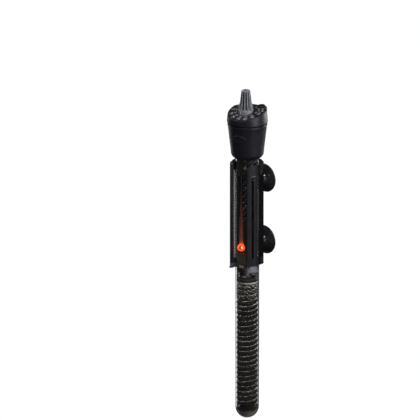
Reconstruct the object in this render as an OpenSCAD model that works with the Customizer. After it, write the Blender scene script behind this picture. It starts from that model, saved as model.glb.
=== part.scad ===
// Submersible aquarium heater with its clip bracket and two suction cups.
// Millimetres, +Z up. The origin lies on the tank wall, midway between the two suction cups.
// The wall is the plane y = 0 and the heater stands in front of it, towards -Y.
// Heater pieces are drawn in the heater's own frame: z = 0 at the round end of the glass and the
// tube's axis at x = y = 0. Module in_place() then moves them to the tank wall's frame.

/* [Glass tube] */
// Outer diameter of the glass tube
tube_od = 25; // [22:0.5:30]
// Thickness of the glass
tube_wall = 1.2; // [1:0.1:1.8]
// Length of the glass, from its round end to its open end
tube_len = 304; // [280:1:380]

/* [Head] */
// Length of glass held inside the head
head_grip = 17; // [14:1:22]
// Diameter of the head's lower body at the seam
head_seam_d = 41.6; // [38:0.2:50]
// Wall of the head's foot round the glass
head_foot_wall = 4.8; // [4:0.1:7]
// Radius of the rounded foot of the head
foot_round = 7; // [4:0.5:8]
// Height of the head's lower body
head_body_h = 38.5; // [34:0.5:50]
// Thickness of the seal in the seam
seal_t = 0.8; // [0.5:0.1:1.5]
// Wall of the head's two shells
head_wall = 2.2; // [1.8:0.1:3]
// Step of the cap's rim beyond the lower body
cap_overhang = 0.5; // [0.2:0.1:1]
// Lean of the cap's side, from its rim to its flat top
cap_draft = 1.1; // [0.5:0.1:2]
// Height of the cap at its flat back half
cap_h = 12.9; // [11:0.1:18]
// Slope of the dial face, falling to the front
face_tilt = 17; // [8:1:20]
// Distance of the dial's crease behind the tube's axis
face_crease = 1.75; // [0:0.25:4]

/* [Knob] */
// Distance of the knob's axis in front of the tube's axis
knob_offset = 2.4; // [0:0.1:4]
// Diameter of the knob's plain collar
knob_collar_d = 15.6; // [14:0.2:19]
// Height of the knob's plain collar
knob_collar_h = 4.9; // [3:0.1:7]
// Diameter of the knob's grip just above its flared foot
knob_grip_d = 12.6; // [11:0.2:15]
// Diameter of the knob's top
knob_top_d = 9.4; // [8:0.2:12]
// Height of the whole knob
knob_h = 26.3; // [20:0.1:34]
// Height of the flare that joins the grip and the collar
knob_flare_h = 7.5; // [4:0.5:9]
// Number of flutes round the knob
knob_flutes = 12; // [6:1:12]
// Radius of one flute at its foot
knob_flute_r = 1.5; // [1:0.05:1.6]
// Radius of one flute at its top
knob_flute_top_r = 0.95; // [0.6:0.05:1]
// Depth of the flutes at their foot
knob_flute_depth = 1.9; // [1:0.1:2.2]
// Depth of the knob's seat below the flat top of the cap
knob_seat_depth = 4.3; // [3:0.1:5]
// Diameter of the spindle that the knob turns
spindle_d = 6; // [5:0.5:7]

/* [Cord gland] */
// Distance of the gland's axis inside the edge of the cap's top
gland_inset = 3; // [2:0.25:4]
// Angle of the gland round the cap, from the back towards +X
gland_angle = 17; // [0:1:30]
// Diameter of the cord's bore
cord_bore_d = 6; // [5:0.1:7]
// Wall of the gland's shank
gland_wall = 1.5; // [1.2:0.1:2]
// Height of the gland above the cap's flat top
gland_rise = 2.4; // [1.5:0.1:6]

/* [Bracket] */
// Gap between the head's foot and the bracket's upper end
bracket_drop = 4.5; // [2:0.5:20]
// Height of the whole bracket
bracket_h = 116.5; // [90:0.5:140]
// Gap between the glass and the clips that grip it
clip_gap = 0.15; // [0.05:0.05:0.3]
// Wall of the long side jaws
jaw_wall = 2.7; // [2:0.1:3.5]
// Wall of the two clip rings
clip_wall = 3.7; // [3:0.1:4.5]
// Height of the upper clip ring
upper_clip_h = 11.5; // [8:0.5:16]
// Height of the lower clip ring
lower_clip_h = 8; // [6:0.5:14]
// Half of the bracket's front opening, as an angle at the tube's axis
mouth_angle = 43.5; // [38:0.5:50]
// Angle at which a side jaw ends, from the front
jaw_end_angle = 84; // [70:1:90]
// Distance of a jaw's lip beyond the jaw's outer face
lip_stand = 1.65; // [0.8:0.05:3]
// Radius of a jaw's round lip
lip_r = 1.2; // [0.8:0.1:1.6]
// Width of the long slot in each jaw
slot_w = 2.2; // [1.5:0.1:3]
// Angle of the slot's middle, from the front
slot_angle = 65; // [62:1:68]
// Height of solid jaw left below the slot
slot_foot = 13; // [9:0.5:20]
// Height of solid jaw left above the slot
slot_head = 17; // [12:0.5:24]
// Radius of the round corner at a jaw's upper lip
corner_r = 3.5; // [1:0.25:5]
// Height of the flared skirt at the jaws' lower end
skirt_h = 6.2; // [4:0.2:9]
// Outward flare of that skirt
skirt_flare = 3.4; // [1:0.1:4]
// Half width of the bracket's back spine
spine_half_w = 8; // [6:0.5:9]
// Thickness of the spine behind the glass
spine_t = 3.85; // [3:0.05:6]

/* [Suction cups] */
// Distance of the spine's flat back from the tank wall
cup_depth = 10.5; // [9.5:0.25:14]
// Diameter of a cup's rim
cup_d = 31; // [24:0.5:36]
// Distance between the two cups
cup_spacing = 68; // [50:1:78]
// Diameter of a cup's neck
cup_neck_d = 12; // [10:0.5:14]
// Diameter of the peg that carries a cup
peg_d = 5; // [4:0.25:6]
// Diameter of the peg's round head
peg_head_d = 7.4; // [6.5:0.1:8.5]

/* [Heating element] */
// Loops of the resistance winding
loops = 24; // [12:1:24]
// Rise of one loop
loop_pitch = 5.56; // [4:0.02:6]
// Diameter of the coiled wire, taken as one tube
coil_d = 2.6; // [1.8:0.1:3]
// Gap between the winding and the glass
winding_gap = 0.5; // [0.3:0.05:1]
// Gap between the ceramic core, between its ribs, and the winding
core_gap = 0.9; // [0.4:0.1:2]
// Number of ribs along the core
core_ribs = 8; // [6:1:12]
// Diameter of the tie rod through the core
rod_d = 3; // [2:0.5:4]
// Thickness of the two end discs
disc_t = 2; // [1.5:0.1:3]
// Distance of the lower disc below the centre of the round end
cushion_drop = 3.8; // [2:0.1:4.5]

/* [Thermostat] */
// Height of the terminal space between the winding and the heat shield
terminal_space = 11; // [8:0.5:14]
// Height of the heat shield
shield_h = 16; // [10:0.5:20]
// Height of the block that guides the plunger
guide_h = 14; // [12:0.5:16]
// Gap between the thermostat's carrier and the supply leads
carrier_gap = 0.6; // [0.3:0.05:1]
// Wall of the carrier
carrier_wall = 1.4; // [1:0.1:1.6]
// Spacing of the eyelets up the carrier
eyelet_pitch = 6.7; // [5:0.1:8]
// Number of eyelets
eyelets = 8; // [4:1:8]
// Thickness of the bimetal blade
blade_t = 0.6; // [0.4:0.05:0.8]
// Gap between the closed contacts
contact_gap = 0.05; // [0.03:0.01:0.1]
// Diameter of the plunger's stem
plunger_d = 3; // [2:0.1:3]
// Diameter of the lamp's glass ball
lamp_d = 8.3; // [6:0.1:8.5]
// Thickness of the lamp's glass
lamp_wall = 0.7; // [0.4:0.1:1]
// Angle of the lamp round the tube, from the front towards -X
lamp_angle = 22; // [10:1:30]
// Diameter of a supply lead
lead_d = 1.8; // [1.2:0.1:2]
// Distance of a lead's side inside the edge of the round inner pieces
lead_margin = 1.1; // [0.5:0.1:1.5]
// Angle of the leads behind the middle plane
lead_angle = 19.5; // [15:0.5:30]
// Thickness of the black card that is rolled round the thermostat
card_t = 0.2; // [0.15:0.05:0.4]
// Angle of the card's two edges from the front, which leaves the lamp in sight
card_angle = 45; // [30:1:60]

/* [Fits] */
// Radial clearance of a turning or sliding pin in its hole
run_gap = 0.05; // [0.02:0.01:0.1]
// Gap left between pieces that are pushed together by hand
seat_gap = 0.05; // [0.02:0.01:0.2]
// Gap on each side of the card, to the glass and to the round inner pieces
card_gap = 0.05; // [0.03:0.01:0.1]
// Gap between the lamp's ball and the pieces round it
lamp_gap = 0.17; // [0.1:0.01:0.4]

/* [Hidden] */
$fn = 64;
eps = 0.01;

// Colours
black_plastic = "#232326";
dark_plastic = "#2b2b2e";
knob_grey = "#6a6b70";
rubber_black = "#1b1b1d";
clear_glass = [0.82, 0.9, 0.92, 0.35];
bright_metal = "#a9a79f";
brass = "#b08d4a";
ceramic = "#3a322c";
brown_board = "#4a3626";
amber = "#f06030";

// Glass
tube_r = tube_od / 2;
bore_r = tube_r - tube_wall;
inner_r = bore_r - card_t - 2 * card_gap;

// Heights of the head, in the heater's frame
head_z = tube_len - head_grip;
seam_z = head_z + head_body_h;
cap_z = seam_z + seal_t;
cap_top_z = cap_z + cap_h;
seat_z = cap_top_z - knob_seat_depth;
knob_lift = 0.4;
knob_z = seat_z + knob_lift;
spindle_grip = 14;
flange_t = 3;
flange_r = tube_r + 0.7;
flange_z = tube_len;
block_h = 9;
block_t = 8;
block_front = spindle_d / 2 - knob_offset + 0.4;
screw_x = 4.8;
screw_r = 1.5;

// Radii of the head
foot_r = tube_r + head_foot_wall;
seam_r = head_seam_d / 2;
cap_r = seam_r + cap_overhang;
cap_top_r = cap_r - cap_draft;
spindle_r = spindle_d / 2;
seat_r = knob_collar_d / 2 + 0.5;
ring_groove_r = tube_r + 1.6;
ring_groove_z = head_z + 7;
ring_groove_h = 3;
gland_shank_r = cord_bore_d / 2 + gland_wall;
gland_boss_r = gland_shank_r + 1.1;
gland_ring_r = cap_top_r - gland_inset;
gland_x = gland_ring_r * sin(gland_angle);
gland_y = gland_ring_r * cos(gland_angle);
gland_grip_z = cap_z + 2;
seal_ring_r = 0.58;
seal_pocket = run_gap + 2 * seal_ring_r + 0.04;

// Heights of the element and the thermostat, in the heater's frame
disc_low_z = tube_r - cushion_drop;
disc_low_gap = 0.24;
disc_low_r = sqrt(pow(bore_r, 2) - pow(cushion_drop, 2)) - disc_low_gap;
winding_r = bore_r - winding_gap - coil_d / 2;
core_r = winding_r - coil_d / 2 - core_gap;
core_rib_r = 1;
core_z = disc_low_z + disc_t;
bend_r = coil_d;
winding_h = loops * loop_pitch + 2 * (coil_d + bend_r);
core_top = core_z + winding_h;
disc_top = core_top + disc_t;
nut_h = 3;
nut_r = 2.9;
rod_hole_r = rod_d / 2 + seat_gap;
rod_head_r = 3;
rod_head_h = 1.5;
terminal_h = terminal_space - nut_h;
shield_z = disc_top + terminal_space;
shield_top = shield_z + shield_h;
foot_z = shield_top + nut_h;
foot_t = 2;
foot_top = foot_z + foot_t;
guide_top = head_z - 3;
guide_z = guide_top - guide_h;
spindle_low = guide_top - 6;
lead_ring_r = inner_r - lead_margin - lead_d / 2;
lead_x = lead_ring_r * cos(lead_angle);
lead_y = lead_ring_r * sin(lead_angle);
carrier_half_w = lead_x - lead_d / 2 - carrier_gap;
block_half_w = lead_x + lead_d / 2 + 0.2;
carrier_front = -5.4;
carrier_back = 4;
carrier_side_front = -3;
carrier_foot_front = -3.6;
front_strip_t = 1;
front_strip_x = 0.6;
back_row_y = carrier_back + 1.6;
back_row_x = 4;
resistor_z = foot_top + 19.5;
fuse_z = foot_top + 15;
eyelet_x = 2.2;
eyelet_r = 1.4;
eyelet_hole_r = 0.8;
eyelet_t = 0.7;
eyelet_top = guide_z - 2;
lamp_z = shield_top + lamp_d / 2 + 1.3;
lamp_ring_r = inner_r - lamp_d / 2 - lamp_gap;
lamp_x = -lamp_ring_r * sin(lamp_angle);
lamp_y = -lamp_ring_r * cos(lamp_angle);
sleeve_low = lamp_z + 2.4;
sleeve_top = guide_z - 30;
anchor_h = 17;
anchor_t = 3.2 + blade_t;
rivet_z = [5, 11];
rivet_head_r = 1.5;
rivet_head_t = 0.5;
rivet_r = 1;
blade_y = 1.6;
anchor_front = blade_y - 1.4;
blade_half_w = 2.5;
blade_low = foot_top + anchor_h + 0.3;
blade_top = guide_z - 9.4;
contact_z = blade_top - 10.6;
contact_r = 1.2;
contact_t = 1;
arm_t = 0.6;
arm_y = blade_y - 2 * contact_t - contact_gap - arm_t;
plunger_tip = blade_top + 1;
plunger_head_r = spindle_r - 0.4;
plunger_head_h = 2.4;
plunger_play = 0.6;

// Places of the bracket
bracket_top = head_z - bracket_drop;
bracket_low = bracket_top - bracket_h;
bracket_mid = bracket_low + bracket_h / 2;
clip_r = tube_r + clip_gap;
jaw_r = clip_r + jaw_wall;
lip_reach = jaw_r + lip_stand;
ring_r = clip_r + clip_wall;
spine_back = clip_r + spine_t;
spine_front = 8;
wall_stand = spine_back + cup_depth;
ledge_z = bracket_top - upper_clip_h;
lower_clip_z = bracket_low + skirt_h;
peg_len = cup_depth - 4.6;
peg_head_h = 1.8;
peg_tip_d = peg_d - 0.6;

function arc(cx, cy, r, a0, a1, n) = [for (i = [0:n]) let (a = a0 + (a1 - a0) * i / n)
    [cx + r * cos(a), cy + r * sin(a)]];
// A point at a distance from the tube's axis and an angle from the front, positive towards +X
function round_front(r, a) = [r * sin(a), -r * cos(a)];

module in_place() {
    translate([0, -wall_stand, -bracket_mid]) children();
}

// A wedge of the plane between two angles from the front
module wedge(a0, a1, reach = 60) {
    polygon(concat([[0, 0]], [for (i = [0:6]) round_front(reach, a0 + (a1 - a0) * i / 6)]));
}

module ring_sector(r_in, r_out, a0, a1) {
    intersection() {
        difference() {
            circle(r = r_out);
            circle(r = r_in);
        }
        wedge(a0, a1);
    }
}

module spin(outline) {
    rotate_extrude() polygon(outline);
}

module washer(r_out, r_in, h) {
    difference() {
        cylinder(r = r_out, h = h);
        translate([0, 0, -1]) cylinder(r = r_in, h = h + 2);
    }
}

// ---- Bracket and suction cups ----

module jaw_section() {
    ring_sector(clip_r, jaw_r, mouth_angle + 8, jaw_end_angle);
    polygon([
        round_front(clip_r + 0.05, mouth_angle + 12), round_front(clip_r + 0.7, mouth_angle + 5),
        round_front(lip_reach - lip_r, mouth_angle - 0.5),
        round_front(lip_reach + lip_r * 0.9, mouth_angle + 2), round_front(jaw_r - 0.05, mouth_angle + 17)
    ]);
    translate(round_front(lip_reach, mouth_angle)) circle(r = lip_r);
}

module skirt() {
    inner_flare = skirt_flare * 0.6;
    intersection() {
        difference() {
            cylinder(r1 = jaw_r + skirt_flare, r2 = jaw_r, h = skirt_h);
            translate([0, 0, -eps]) cylinder(r1 = clip_r + inner_flare, r2 = clip_r, h = skirt_h + 2 * eps);
        }
        translate([0, 0, -1]) linear_extrude(height = skirt_h + 2) wedge(mouth_angle - 3, jaw_end_angle);
    }
}

module jaw() {
    slot_h = bracket_h - slot_foot - slot_head;
    difference() {
        union() {
            translate([0, 0, bracket_low]) linear_extrude(height = bracket_h) jaw_section();
            translate([0, 0, bracket_low]) skirt();
        }
        translate([0, 0, bracket_low + slot_foot]) linear_extrude(height = slot_h)
            rotate(slot_angle - 90) translate([clip_r - 2, -slot_w / 2]) square([jaw_wall + 4, slot_w]);
    }
}

// What is taken off the upper corner of a jaw's lip, seen along the middle of the jaw
module lip_corner() {
    middle = (mouth_angle + jaw_end_angle) / 2;
    edge = lip_reach * sin(mouth_angle - middle) - lip_r;
    rotate(middle - 90) translate([clip_r - 4, edge - 5, bracket_top - corner_r]) difference() {
        cube([14, 5 + corner_r, corner_r + 5]);
        translate([-1, 5 + corner_r, 0]) rotate([0, 90, 0]) cylinder(r = corner_r, h = 20);
    }
}

module clip_ring(z, h) {
    translate([0, 0, z]) linear_extrude(height = h)
        ring_sector(clip_r, ring_r, mouth_angle + 4, 360 - mouth_angle - 4);
}

module peg(z) {
    translate([0, spine_back, z]) rotate([-90, 0, 0]) {
        translate([0, 0, -eps]) cylinder(d = peg_d, h = peg_len - peg_head_h + 2 * eps);
        translate([0, 0, peg_len - peg_head_h]) cylinder(d1 = peg_head_d, d2 = peg_tip_d, h = peg_head_h);
    }
}

module bracket() {
    color(dark_plastic) in_place() {
        difference() {
            union() {
                jaw();
                mirror([1, 0, 0]) jaw();
                clip_ring(ledge_z, upper_clip_h);
                clip_ring(lower_clip_z, lower_clip_h);
            }
            lip_corner();
            mirror([1, 0, 0]) lip_corner();
        }
        difference() {
            translate([-spine_half_w, 0, bracket_low + 2])
                cube([2 * spine_half_w, spine_back, bracket_h - 4]);
            translate([0, 0, bracket_low]) cylinder(r = clip_r, h = bracket_h);
            translate([-spine_half_w - 1, -1, bracket_low])
                cube([2 * spine_half_w + 2, spine_front + 1, bracket_h]);
        }
        for (side = [-1, 1]) peg(bracket_mid + side * cup_spacing / 2);
    }
}

// A cup's outline: its axis is the vertical one and the tank wall is at height 0
module suction_cup(side) {
    rim_r = cup_d / 2;
    neck_r = cup_neck_d / 2;
    pocket_z = cup_depth - peg_len;
    fit = 2 * seat_gap;
    color(rubber_black) translate([0, 0, side * cup_spacing / 2]) rotate([90, 0, 0]) difference() {
        spin(concat(
            [[0, 3.2], [rim_r * 0.45, 2.6], [rim_r * 0.75, 1.5], [rim_r - 1.6, 0], [rim_r, 0], [rim_r, 0.5]],
            [[rim_r - 0.7, 1.2], [rim_r * 0.72, 3.1], [neck_r + 1.6, 4.6]],
            arc(neck_r + 1.4, 6, 1.4, 270, 180, 4),
            [[neck_r, cup_depth - 1], [neck_r - 0.8, cup_depth - 0.2], [0, cup_depth - 0.2]]
        ));
        translate([0, 0, pocket_z - seat_gap])
            cylinder(d1 = peg_tip_d + fit, d2 = peg_head_d + fit, h = peg_head_h + seat_gap);
        translate([0, 0, pocket_z + peg_head_h - eps]) cylinder(d = peg_d + fit, h = peg_len);
    }
}

module suction_cup_upper() suction_cup(1);

module suction_cup_lower() suction_cup(-1);

// ---- Glass and head ----

module round_end_outline(r, top) {
    translate([0, tube_r]) intersection() {
        circle(r = r);
        translate([0, -2 * r]) square([2 * r, 2 * r]);
    }
    translate([0, tube_r - eps]) square([r, top - tube_r + eps]);
}

module glass_tube() {
    color(clear_glass) in_place() rotate_extrude() difference() {
        round_end_outline(tube_r, tube_len);
        round_end_outline(bore_r, tube_len + 1);
    }
}

module head_body() {
    collar_top = flange_z;
    cavity_r = flange_r + 1.2;
    color(black_plastic) in_place() difference() {
        rotate_extrude() {
            polygon([
                [0, head_z + foot_round - eps], [foot_r, head_z + foot_round - eps],
                [seam_r - 0.4, seam_z - 3], [seam_r, seam_z - 2], [seam_r, seam_z - 0.6],
                [seam_r - 0.6, seam_z], [0, seam_z]
            ]);
            translate([foot_r - foot_round, head_z + foot_round]) intersection() {
                circle(r = foot_round);
                translate([0, -2 * foot_round]) square(2 * foot_round);
            }
            translate([0, head_z]) square([foot_r - foot_round + eps, foot_round]);
        }
        translate([0, 0, head_z - 1]) cylinder(r = tube_r + seat_gap, h = head_body_h);
        translate([0, 0, ring_groove_z]) cylinder(r = ring_groove_r, h = ring_groove_h);
        translate([0, 0, collar_top]) spin([
            [0, 0], [cavity_r, 0],
            [seam_r - head_wall - 0.4, seam_z - collar_top + eps], [0, seam_z - collar_top + eps]
        ]);
    }
}

// All of the space above the dial face, which falls to the front from its crease
module above_face(drop) {
    translate([0, face_crease, cap_top_z - drop]) {
        rotate([face_tilt, 0, 0]) translate([-50, -100, 0]) cube([100, 100, 60]);
        translate([-50, -eps, 0]) cube([100, 100, 60]);
    }
}

module head_cap() {
    spindle_boss_r = spindle_r + 2.6;
    seat_wall_r = seat_r + 0.6;
    seat_floor_t = 3;
    color(black_plastic) in_place() difference() {
        union() {
            difference() {
                union() {
                    spin([
                        [0, cap_z], [cap_r - 0.7, cap_z], [cap_r, cap_z + 0.7],
                        [cap_r, cap_z + 2], [cap_top_r, cap_top_z - eps], [0, cap_top_z - eps]
                    ]);
                    translate([0, -knob_offset, cap_z]) cylinder(r = seat_wall_r, h = seat_z - cap_z);
                }
                above_face(0);
            }
            translate([0, -knob_offset, seat_z - seat_floor_t]) cylinder(r = seat_wall_r, h = seat_floor_t);
            translate([gland_x, gland_y, cap_z]) cylinder(r = gland_boss_r, h = cap_h - eps);
        }
        // Hollow under the face, and the seats and bores through it
        difference() {
            translate([0, 0, cap_z - 1]) cylinder(r = cap_r - head_wall - 0.7, h = cap_h);
            above_face(head_wall + 0.3);
            translate([0, -knob_offset, seat_z - seat_floor_t]) cylinder(r = seat_wall_r, h = 20);
            translate([0, -knob_offset, cap_z - 2]) cylinder(r = spindle_boss_r, h = cap_h + 4);
        }
        translate([0, -knob_offset, seat_z]) cylinder(r = seat_r, h = 20);
        translate([0, -knob_offset, cap_z - 1]) cylinder(r = spindle_r + run_gap, h = cap_h + 2);
        translate([0, -knob_offset, cap_z - 1]) cylinder(r = spindle_r + seal_pocket, h = 3);
        translate([gland_x, gland_y, cap_z - 1]) cylinder(r = gland_shank_r + seat_gap, h = cap_h + 4);
    }
}

module head_seal() {
    color(rubber_black) in_place() translate([0, 0, seam_z])
        washer(seam_r - 1, seam_r - head_wall - 0.2, seal_t);
}

module tube_o_ring() {
    ring_r = (ring_groove_r - tube_r) / 2;
    color(rubber_black) in_place() translate([0, 0, ring_groove_z + ring_groove_h / 2]) rotate_extrude()
        translate([tube_r + ring_r, 0]) circle(r = ring_r - 0.02);
}

// Two holes that a pair of supply leads pass through
module lead_holes(z, h) {
    for (side = [-1, 1]) translate([side * lead_x, lead_y, z]) cylinder(r = lead_d / 2 + seat_gap, h = h);
}

module tube_stopper() {
    color(rubber_black) in_place() difference() {
        union() {
            translate([0, 0, guide_top]) cylinder(r = bore_r - seat_gap, h = flange_z - guide_top);
            translate([0, 0, flange_z]) cylinder(r = flange_r, h = flange_t);
        }
        translate([0, -knob_offset, guide_top - 1]) cylinder(r = spindle_r + run_gap, h = 60);
        lead_holes(guide_top - 1, 60);
    }
}

module cord_gland() {
    shank_h = cap_top_z - gland_grip_z;
    color(rubber_black) in_place() translate([gland_x, gland_y, gland_grip_z]) difference() {
        union() {
            cylinder(r = gland_shank_r, h = shank_h);
            translate([0, 0, shank_h]) {
                cylinder(r = gland_shank_r + 0.4, h = gland_rise / 3);
                cylinder(r1 = gland_shank_r, r2 = cord_bore_d / 2 + 0.6, h = gland_rise);
            }
        }
        translate([0, 0, -1]) cylinder(d = cord_bore_d, h = shank_h + gland_rise + 2);
    }
}

module spindle_seal() {
    color(rubber_black) in_place() translate([0, -knob_offset, cap_z + 0.9]) rotate_extrude()
        translate([spindle_r + run_gap + seal_ring_r, 0]) circle(r = seal_ring_r);
}

module seal_washer() {
    color(brass) in_place() translate([0, -knob_offset, cap_z - 1])
        washer(spindle_r + 2.4, spindle_r + run_gap, 1);
}

module terminal_block() {
    color("#b9b4a4") in_place() difference() {
        translate([-block_half_w, block_front, flange_z + flange_t])
            cube([2 * block_half_w, block_t, block_h]);
        for (side = [-1, 1]) translate([side * screw_x, block_front + block_t / 2, flange_z + flange_t + 2])
            cylinder(r = screw_r + seat_gap, h = block_h);
    }
}

module terminal_screws() {
    screw_top = flange_z + flange_t + block_h;
    color(bright_metal) in_place() for (side = [-1, 1])
        translate([side * screw_x, block_front + block_t / 2, screw_top]) difference() {
            union() {
                translate([0, 0, -6]) cylinder(r = screw_r, h = 6);
                cylinder(r = screw_r + 0.9, h = 1.2);
            }
            translate([-3, -0.35, 0.6]) cube([6, 0.7, 1]);
        }
}

// ---- Knob, spindle and plunger ----

// The knob's outline above its collar: a bell that narrows to the grip, then a straight taper
module adjustment_knob() {
    collar_r = knob_collar_d / 2;
    grip_r = knob_grip_d / 2;
    top_r = knob_top_d / 2;
    bell_r = collar_r - 0.1;
    bell_steps = 6;
    flute_h = knob_h - knob_collar_h - 2.4;
    flute_low = collar_r - knob_flute_depth + knob_flute_r;
    flute_high = top_r - 0.25 + knob_flute_top_r;
    flute_lean = atan((flute_low - flute_high) / flute_h);
    color(knob_grey) in_place() translate([0, -knob_offset, knob_z]) difference() {
        spin(concat(
            [[0, 0], [collar_r - 0.4, 0], [collar_r, 0.4], [collar_r, knob_collar_h - 0.1]],
            [for (i = [0:bell_steps]) let (rise = i / bell_steps)
                [grip_r + (bell_r - grip_r) * (1 - rise * rise), knob_collar_h + knob_flare_h * rise]],
            [[top_r, knob_h - 0.9], [top_r - 1.6, knob_h], [0, knob_h]]
        ));
        for (i = [0:knob_flutes - 1]) rotate((i + 0.5) * 360 / knob_flutes)
            translate([flute_low, 0, knob_collar_h + 0.1]) rotate([0, -flute_lean, 0])
            cylinder(r1 = knob_flute_r, r2 = knob_flute_top_r, h = flute_h / cos(flute_lean), $fn = 32);
        translate([0, 0, -1]) cylinder(r = spindle_r, h = spindle_grip + 1);
    }
}

module knob_spindle() {
    color(bright_metal) in_place() translate([0, -knob_offset, 0]) {
        translate([0, 0, spindle_low]) cylinder(d = spindle_d, h = knob_z + spindle_grip - spindle_low);
    }
}

module plunger_guide() {
    counterbore_z = spindle_low - plunger_head_h - 2 * plunger_play;
    color(brown_board) in_place() difference() {
        translate([0, 0, guide_z]) cylinder(r = inner_r, h = guide_h);
        translate([0, -knob_offset, guide_z - 1]) cylinder(r = plunger_d / 2 + run_gap, h = guide_h + 2);
        translate([0, -knob_offset, counterbore_z]) cylinder(r = spindle_r + run_gap, h = guide_h);
        lead_holes(guide_z - 1, guide_h + 2);
    }
}

module adjusting_plunger() {
    head_low = spindle_low - plunger_play - plunger_head_h;
    tip_h = 1.2;
    stem_low = plunger_tip + tip_h;
    color(brass) in_place() translate([0, -knob_offset, 0]) {
        translate([0, 0, plunger_tip]) cylinder(d1 = plunger_d - tip_h, d2 = plunger_d, h = tip_h);
        translate([0, 0, stem_low]) cylinder(d = plunger_d, h = head_low - stem_low + eps);
        translate([0, 0, head_low]) cylinder(r = plunger_head_r, h = plunger_head_h);
    }
}

// ---- Thermostat ----

module lamp_at() {
    translate([lamp_x, lamp_y, lamp_z]) children();
}

module insulating_card() {
    color(black_plastic) in_place() translate([0, 0, core_top]) linear_extrude(height = guide_top - core_top)
        ring_sector(inner_r + card_gap, bore_r - card_gap, card_angle, 360 - card_angle);
}

module thermostat_carrier() {
    w = carrier_half_w;
    h = guide_z - foot_z;
    depth = carrier_back - carrier_front;
    color(dark_plastic) in_place() difference() {
        translate([0, 0, foot_z]) {
            translate([-w, carrier_foot_front, 0]) cube([2 * w, carrier_back - carrier_foot_front, foot_t]);
            translate([w - carrier_wall, carrier_front, 0]) cube([carrier_wall, depth, h]);
            translate([-w, carrier_side_front, 0])
                cube([carrier_wall, carrier_back - carrier_side_front, h]);
            translate([front_strip_x, carrier_front, 0]) cube([w - front_strip_x, front_strip_t, h]);
        }
        translate([0, 0, foot_z - 1]) cylinder(r = rod_hole_r, h = foot_t + 3);
        lamp_at() sphere(r = lamp_d / 2 + lamp_gap);
        for (i = [0:eyelets - 1]) translate([eyelet_x, carrier_front - 1, eyelet_top - i * eyelet_pitch])
            rotate([-90, 0, 0]) cylinder(r = eyelet_hole_r, h = 3, $fn = 24);
    }
}

module carrier_eyelets() {
    color(bright_metal) in_place() for (i = [0:eyelets - 1])
        translate([eyelet_x, carrier_front - eyelet_t, eyelet_top - i * eyelet_pitch]) rotate([-90, 0, 0])
        difference() {
            union() {
                cylinder(r = eyelet_r, h = eyelet_t, $fn = 24);
                cylinder(r = eyelet_hole_r - seat_gap, h = eyelet_t + front_strip_t, $fn = 24);
            }
            translate([0, 0, -1]) cylinder(r = eyelet_hole_r / 2, h = 4, $fn = 24);
        }
}

module blade_anchor() {
    color(brown_board) in_place() difference() {
        translate([-3.5, anchor_front, foot_top]) cube([7, anchor_t, anchor_h]);
        for (z = rivet_z) translate([0, 0, foot_top + z]) rotate([-90, 0, 0])
            cylinder(r = rivet_r, h = 9, $fn = 32);
    }
}

module anchor_rivets() {
    color(bright_metal) in_place() for (z = rivet_z)
        translate([0, anchor_front - rivet_head_t, foot_top + z]) rotate([-90, 0, 0]) {
            cylinder(r = rivet_head_r, h = rivet_head_t, $fn = 32);
            cylinder(r = rivet_r - seat_gap, h = anchor_t + 2 * rivet_head_t, $fn = 32);
            translate([0, 0, anchor_t + rivet_head_t])
                cylinder(r = rivet_head_r, h = rivet_head_t, $fn = 32);
        }
}

module bimetal_blade() {
    w = 2 * blade_half_w;
    foot_reach = knob_offset + plunger_d / 2;
    color(bright_metal) in_place() {
        translate([-blade_half_w, blade_y, blade_low]) cube([w, blade_t, blade_top - blade_low]);
        translate([-blade_half_w, -foot_reach, blade_top - blade_t])
            cube([w, blade_y + foot_reach + eps, blade_t]);
    }
}

module moving_contact() {
    color(brass) in_place() translate([0, blade_y - contact_t, contact_z]) rotate([-90, 0, 0])
        cylinder(r = contact_r, h = contact_t, $fn = 32);
}

module fixed_contact() {
    color(brass) in_place() translate([0, arm_y + arm_t, contact_z]) rotate([-90, 0, 0])
        cylinder(r = contact_r, h = contact_t, $fn = 32);
}

module contact_arm() {
    span = carrier_half_w - carrier_wall;
    color(bright_metal) in_place() {
        translate([-2, arm_y, contact_z - 24]) cube([4, arm_t, 28]);
        translate([-span, arm_y, contact_z - 26]) cube([2 * span, arm_t, 7]);
    }
}

module snap_magnet() {
    color("#55565a") in_place() translate([-2, arm_y + arm_t, contact_z - 14]) cube([4, 1.3, 6]);
}

module neon_lamp() {
    color([1, 0.55, 0.3, 0.6]) in_place() lamp_at() difference() {
        sphere(d = lamp_d);
        sphere(r = lamp_d / 2 - lamp_wall);
    }
}

module lamp_electrodes() {
    rod_r = 0.5;
    reach = sqrt(pow(lamp_d / 2 - lamp_wall, 2) - pow(1 + rod_r, 2));
    color(amber) in_place() lamp_at() for (side = [-1, 1]) translate([side, 0, -2])
        cylinder(r = rod_r, h = 2 + reach - seat_gap, $fn = 24);
}

module lamp_sleeve() {
    color("#8a3a22") in_place() difference() {
        translate([lamp_x, lamp_y, sleeve_low]) cylinder(r1 = 2.2, r2 = 1.2, h = sleeve_top - sleeve_low);
        lamp_at() sphere(r = lamp_d / 2 + seat_gap);
        lamp_at() cylinder(r = 0.7, h = sleeve_top, $fn = 24);
    }
}

module lamp_leads() {
    color(bright_metal) in_place() lamp_at() translate([0, 0, lamp_d / 2])
        cylinder(r = 0.45, h = guide_z - lamp_z - lamp_d / 2, $fn = 24);
}

module lamp_resistor() {
    color("#8c6a48") in_place() translate([-back_row_x, back_row_y, 0]) {
        translate([0, 0, shield_top]) cylinder(r = 0.35, h = guide_z - shield_top, $fn = 24);
        translate([0, 0, resistor_z]) cylinder(r = 1.3, h = 8, $fn = 32);
    }
}

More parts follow.
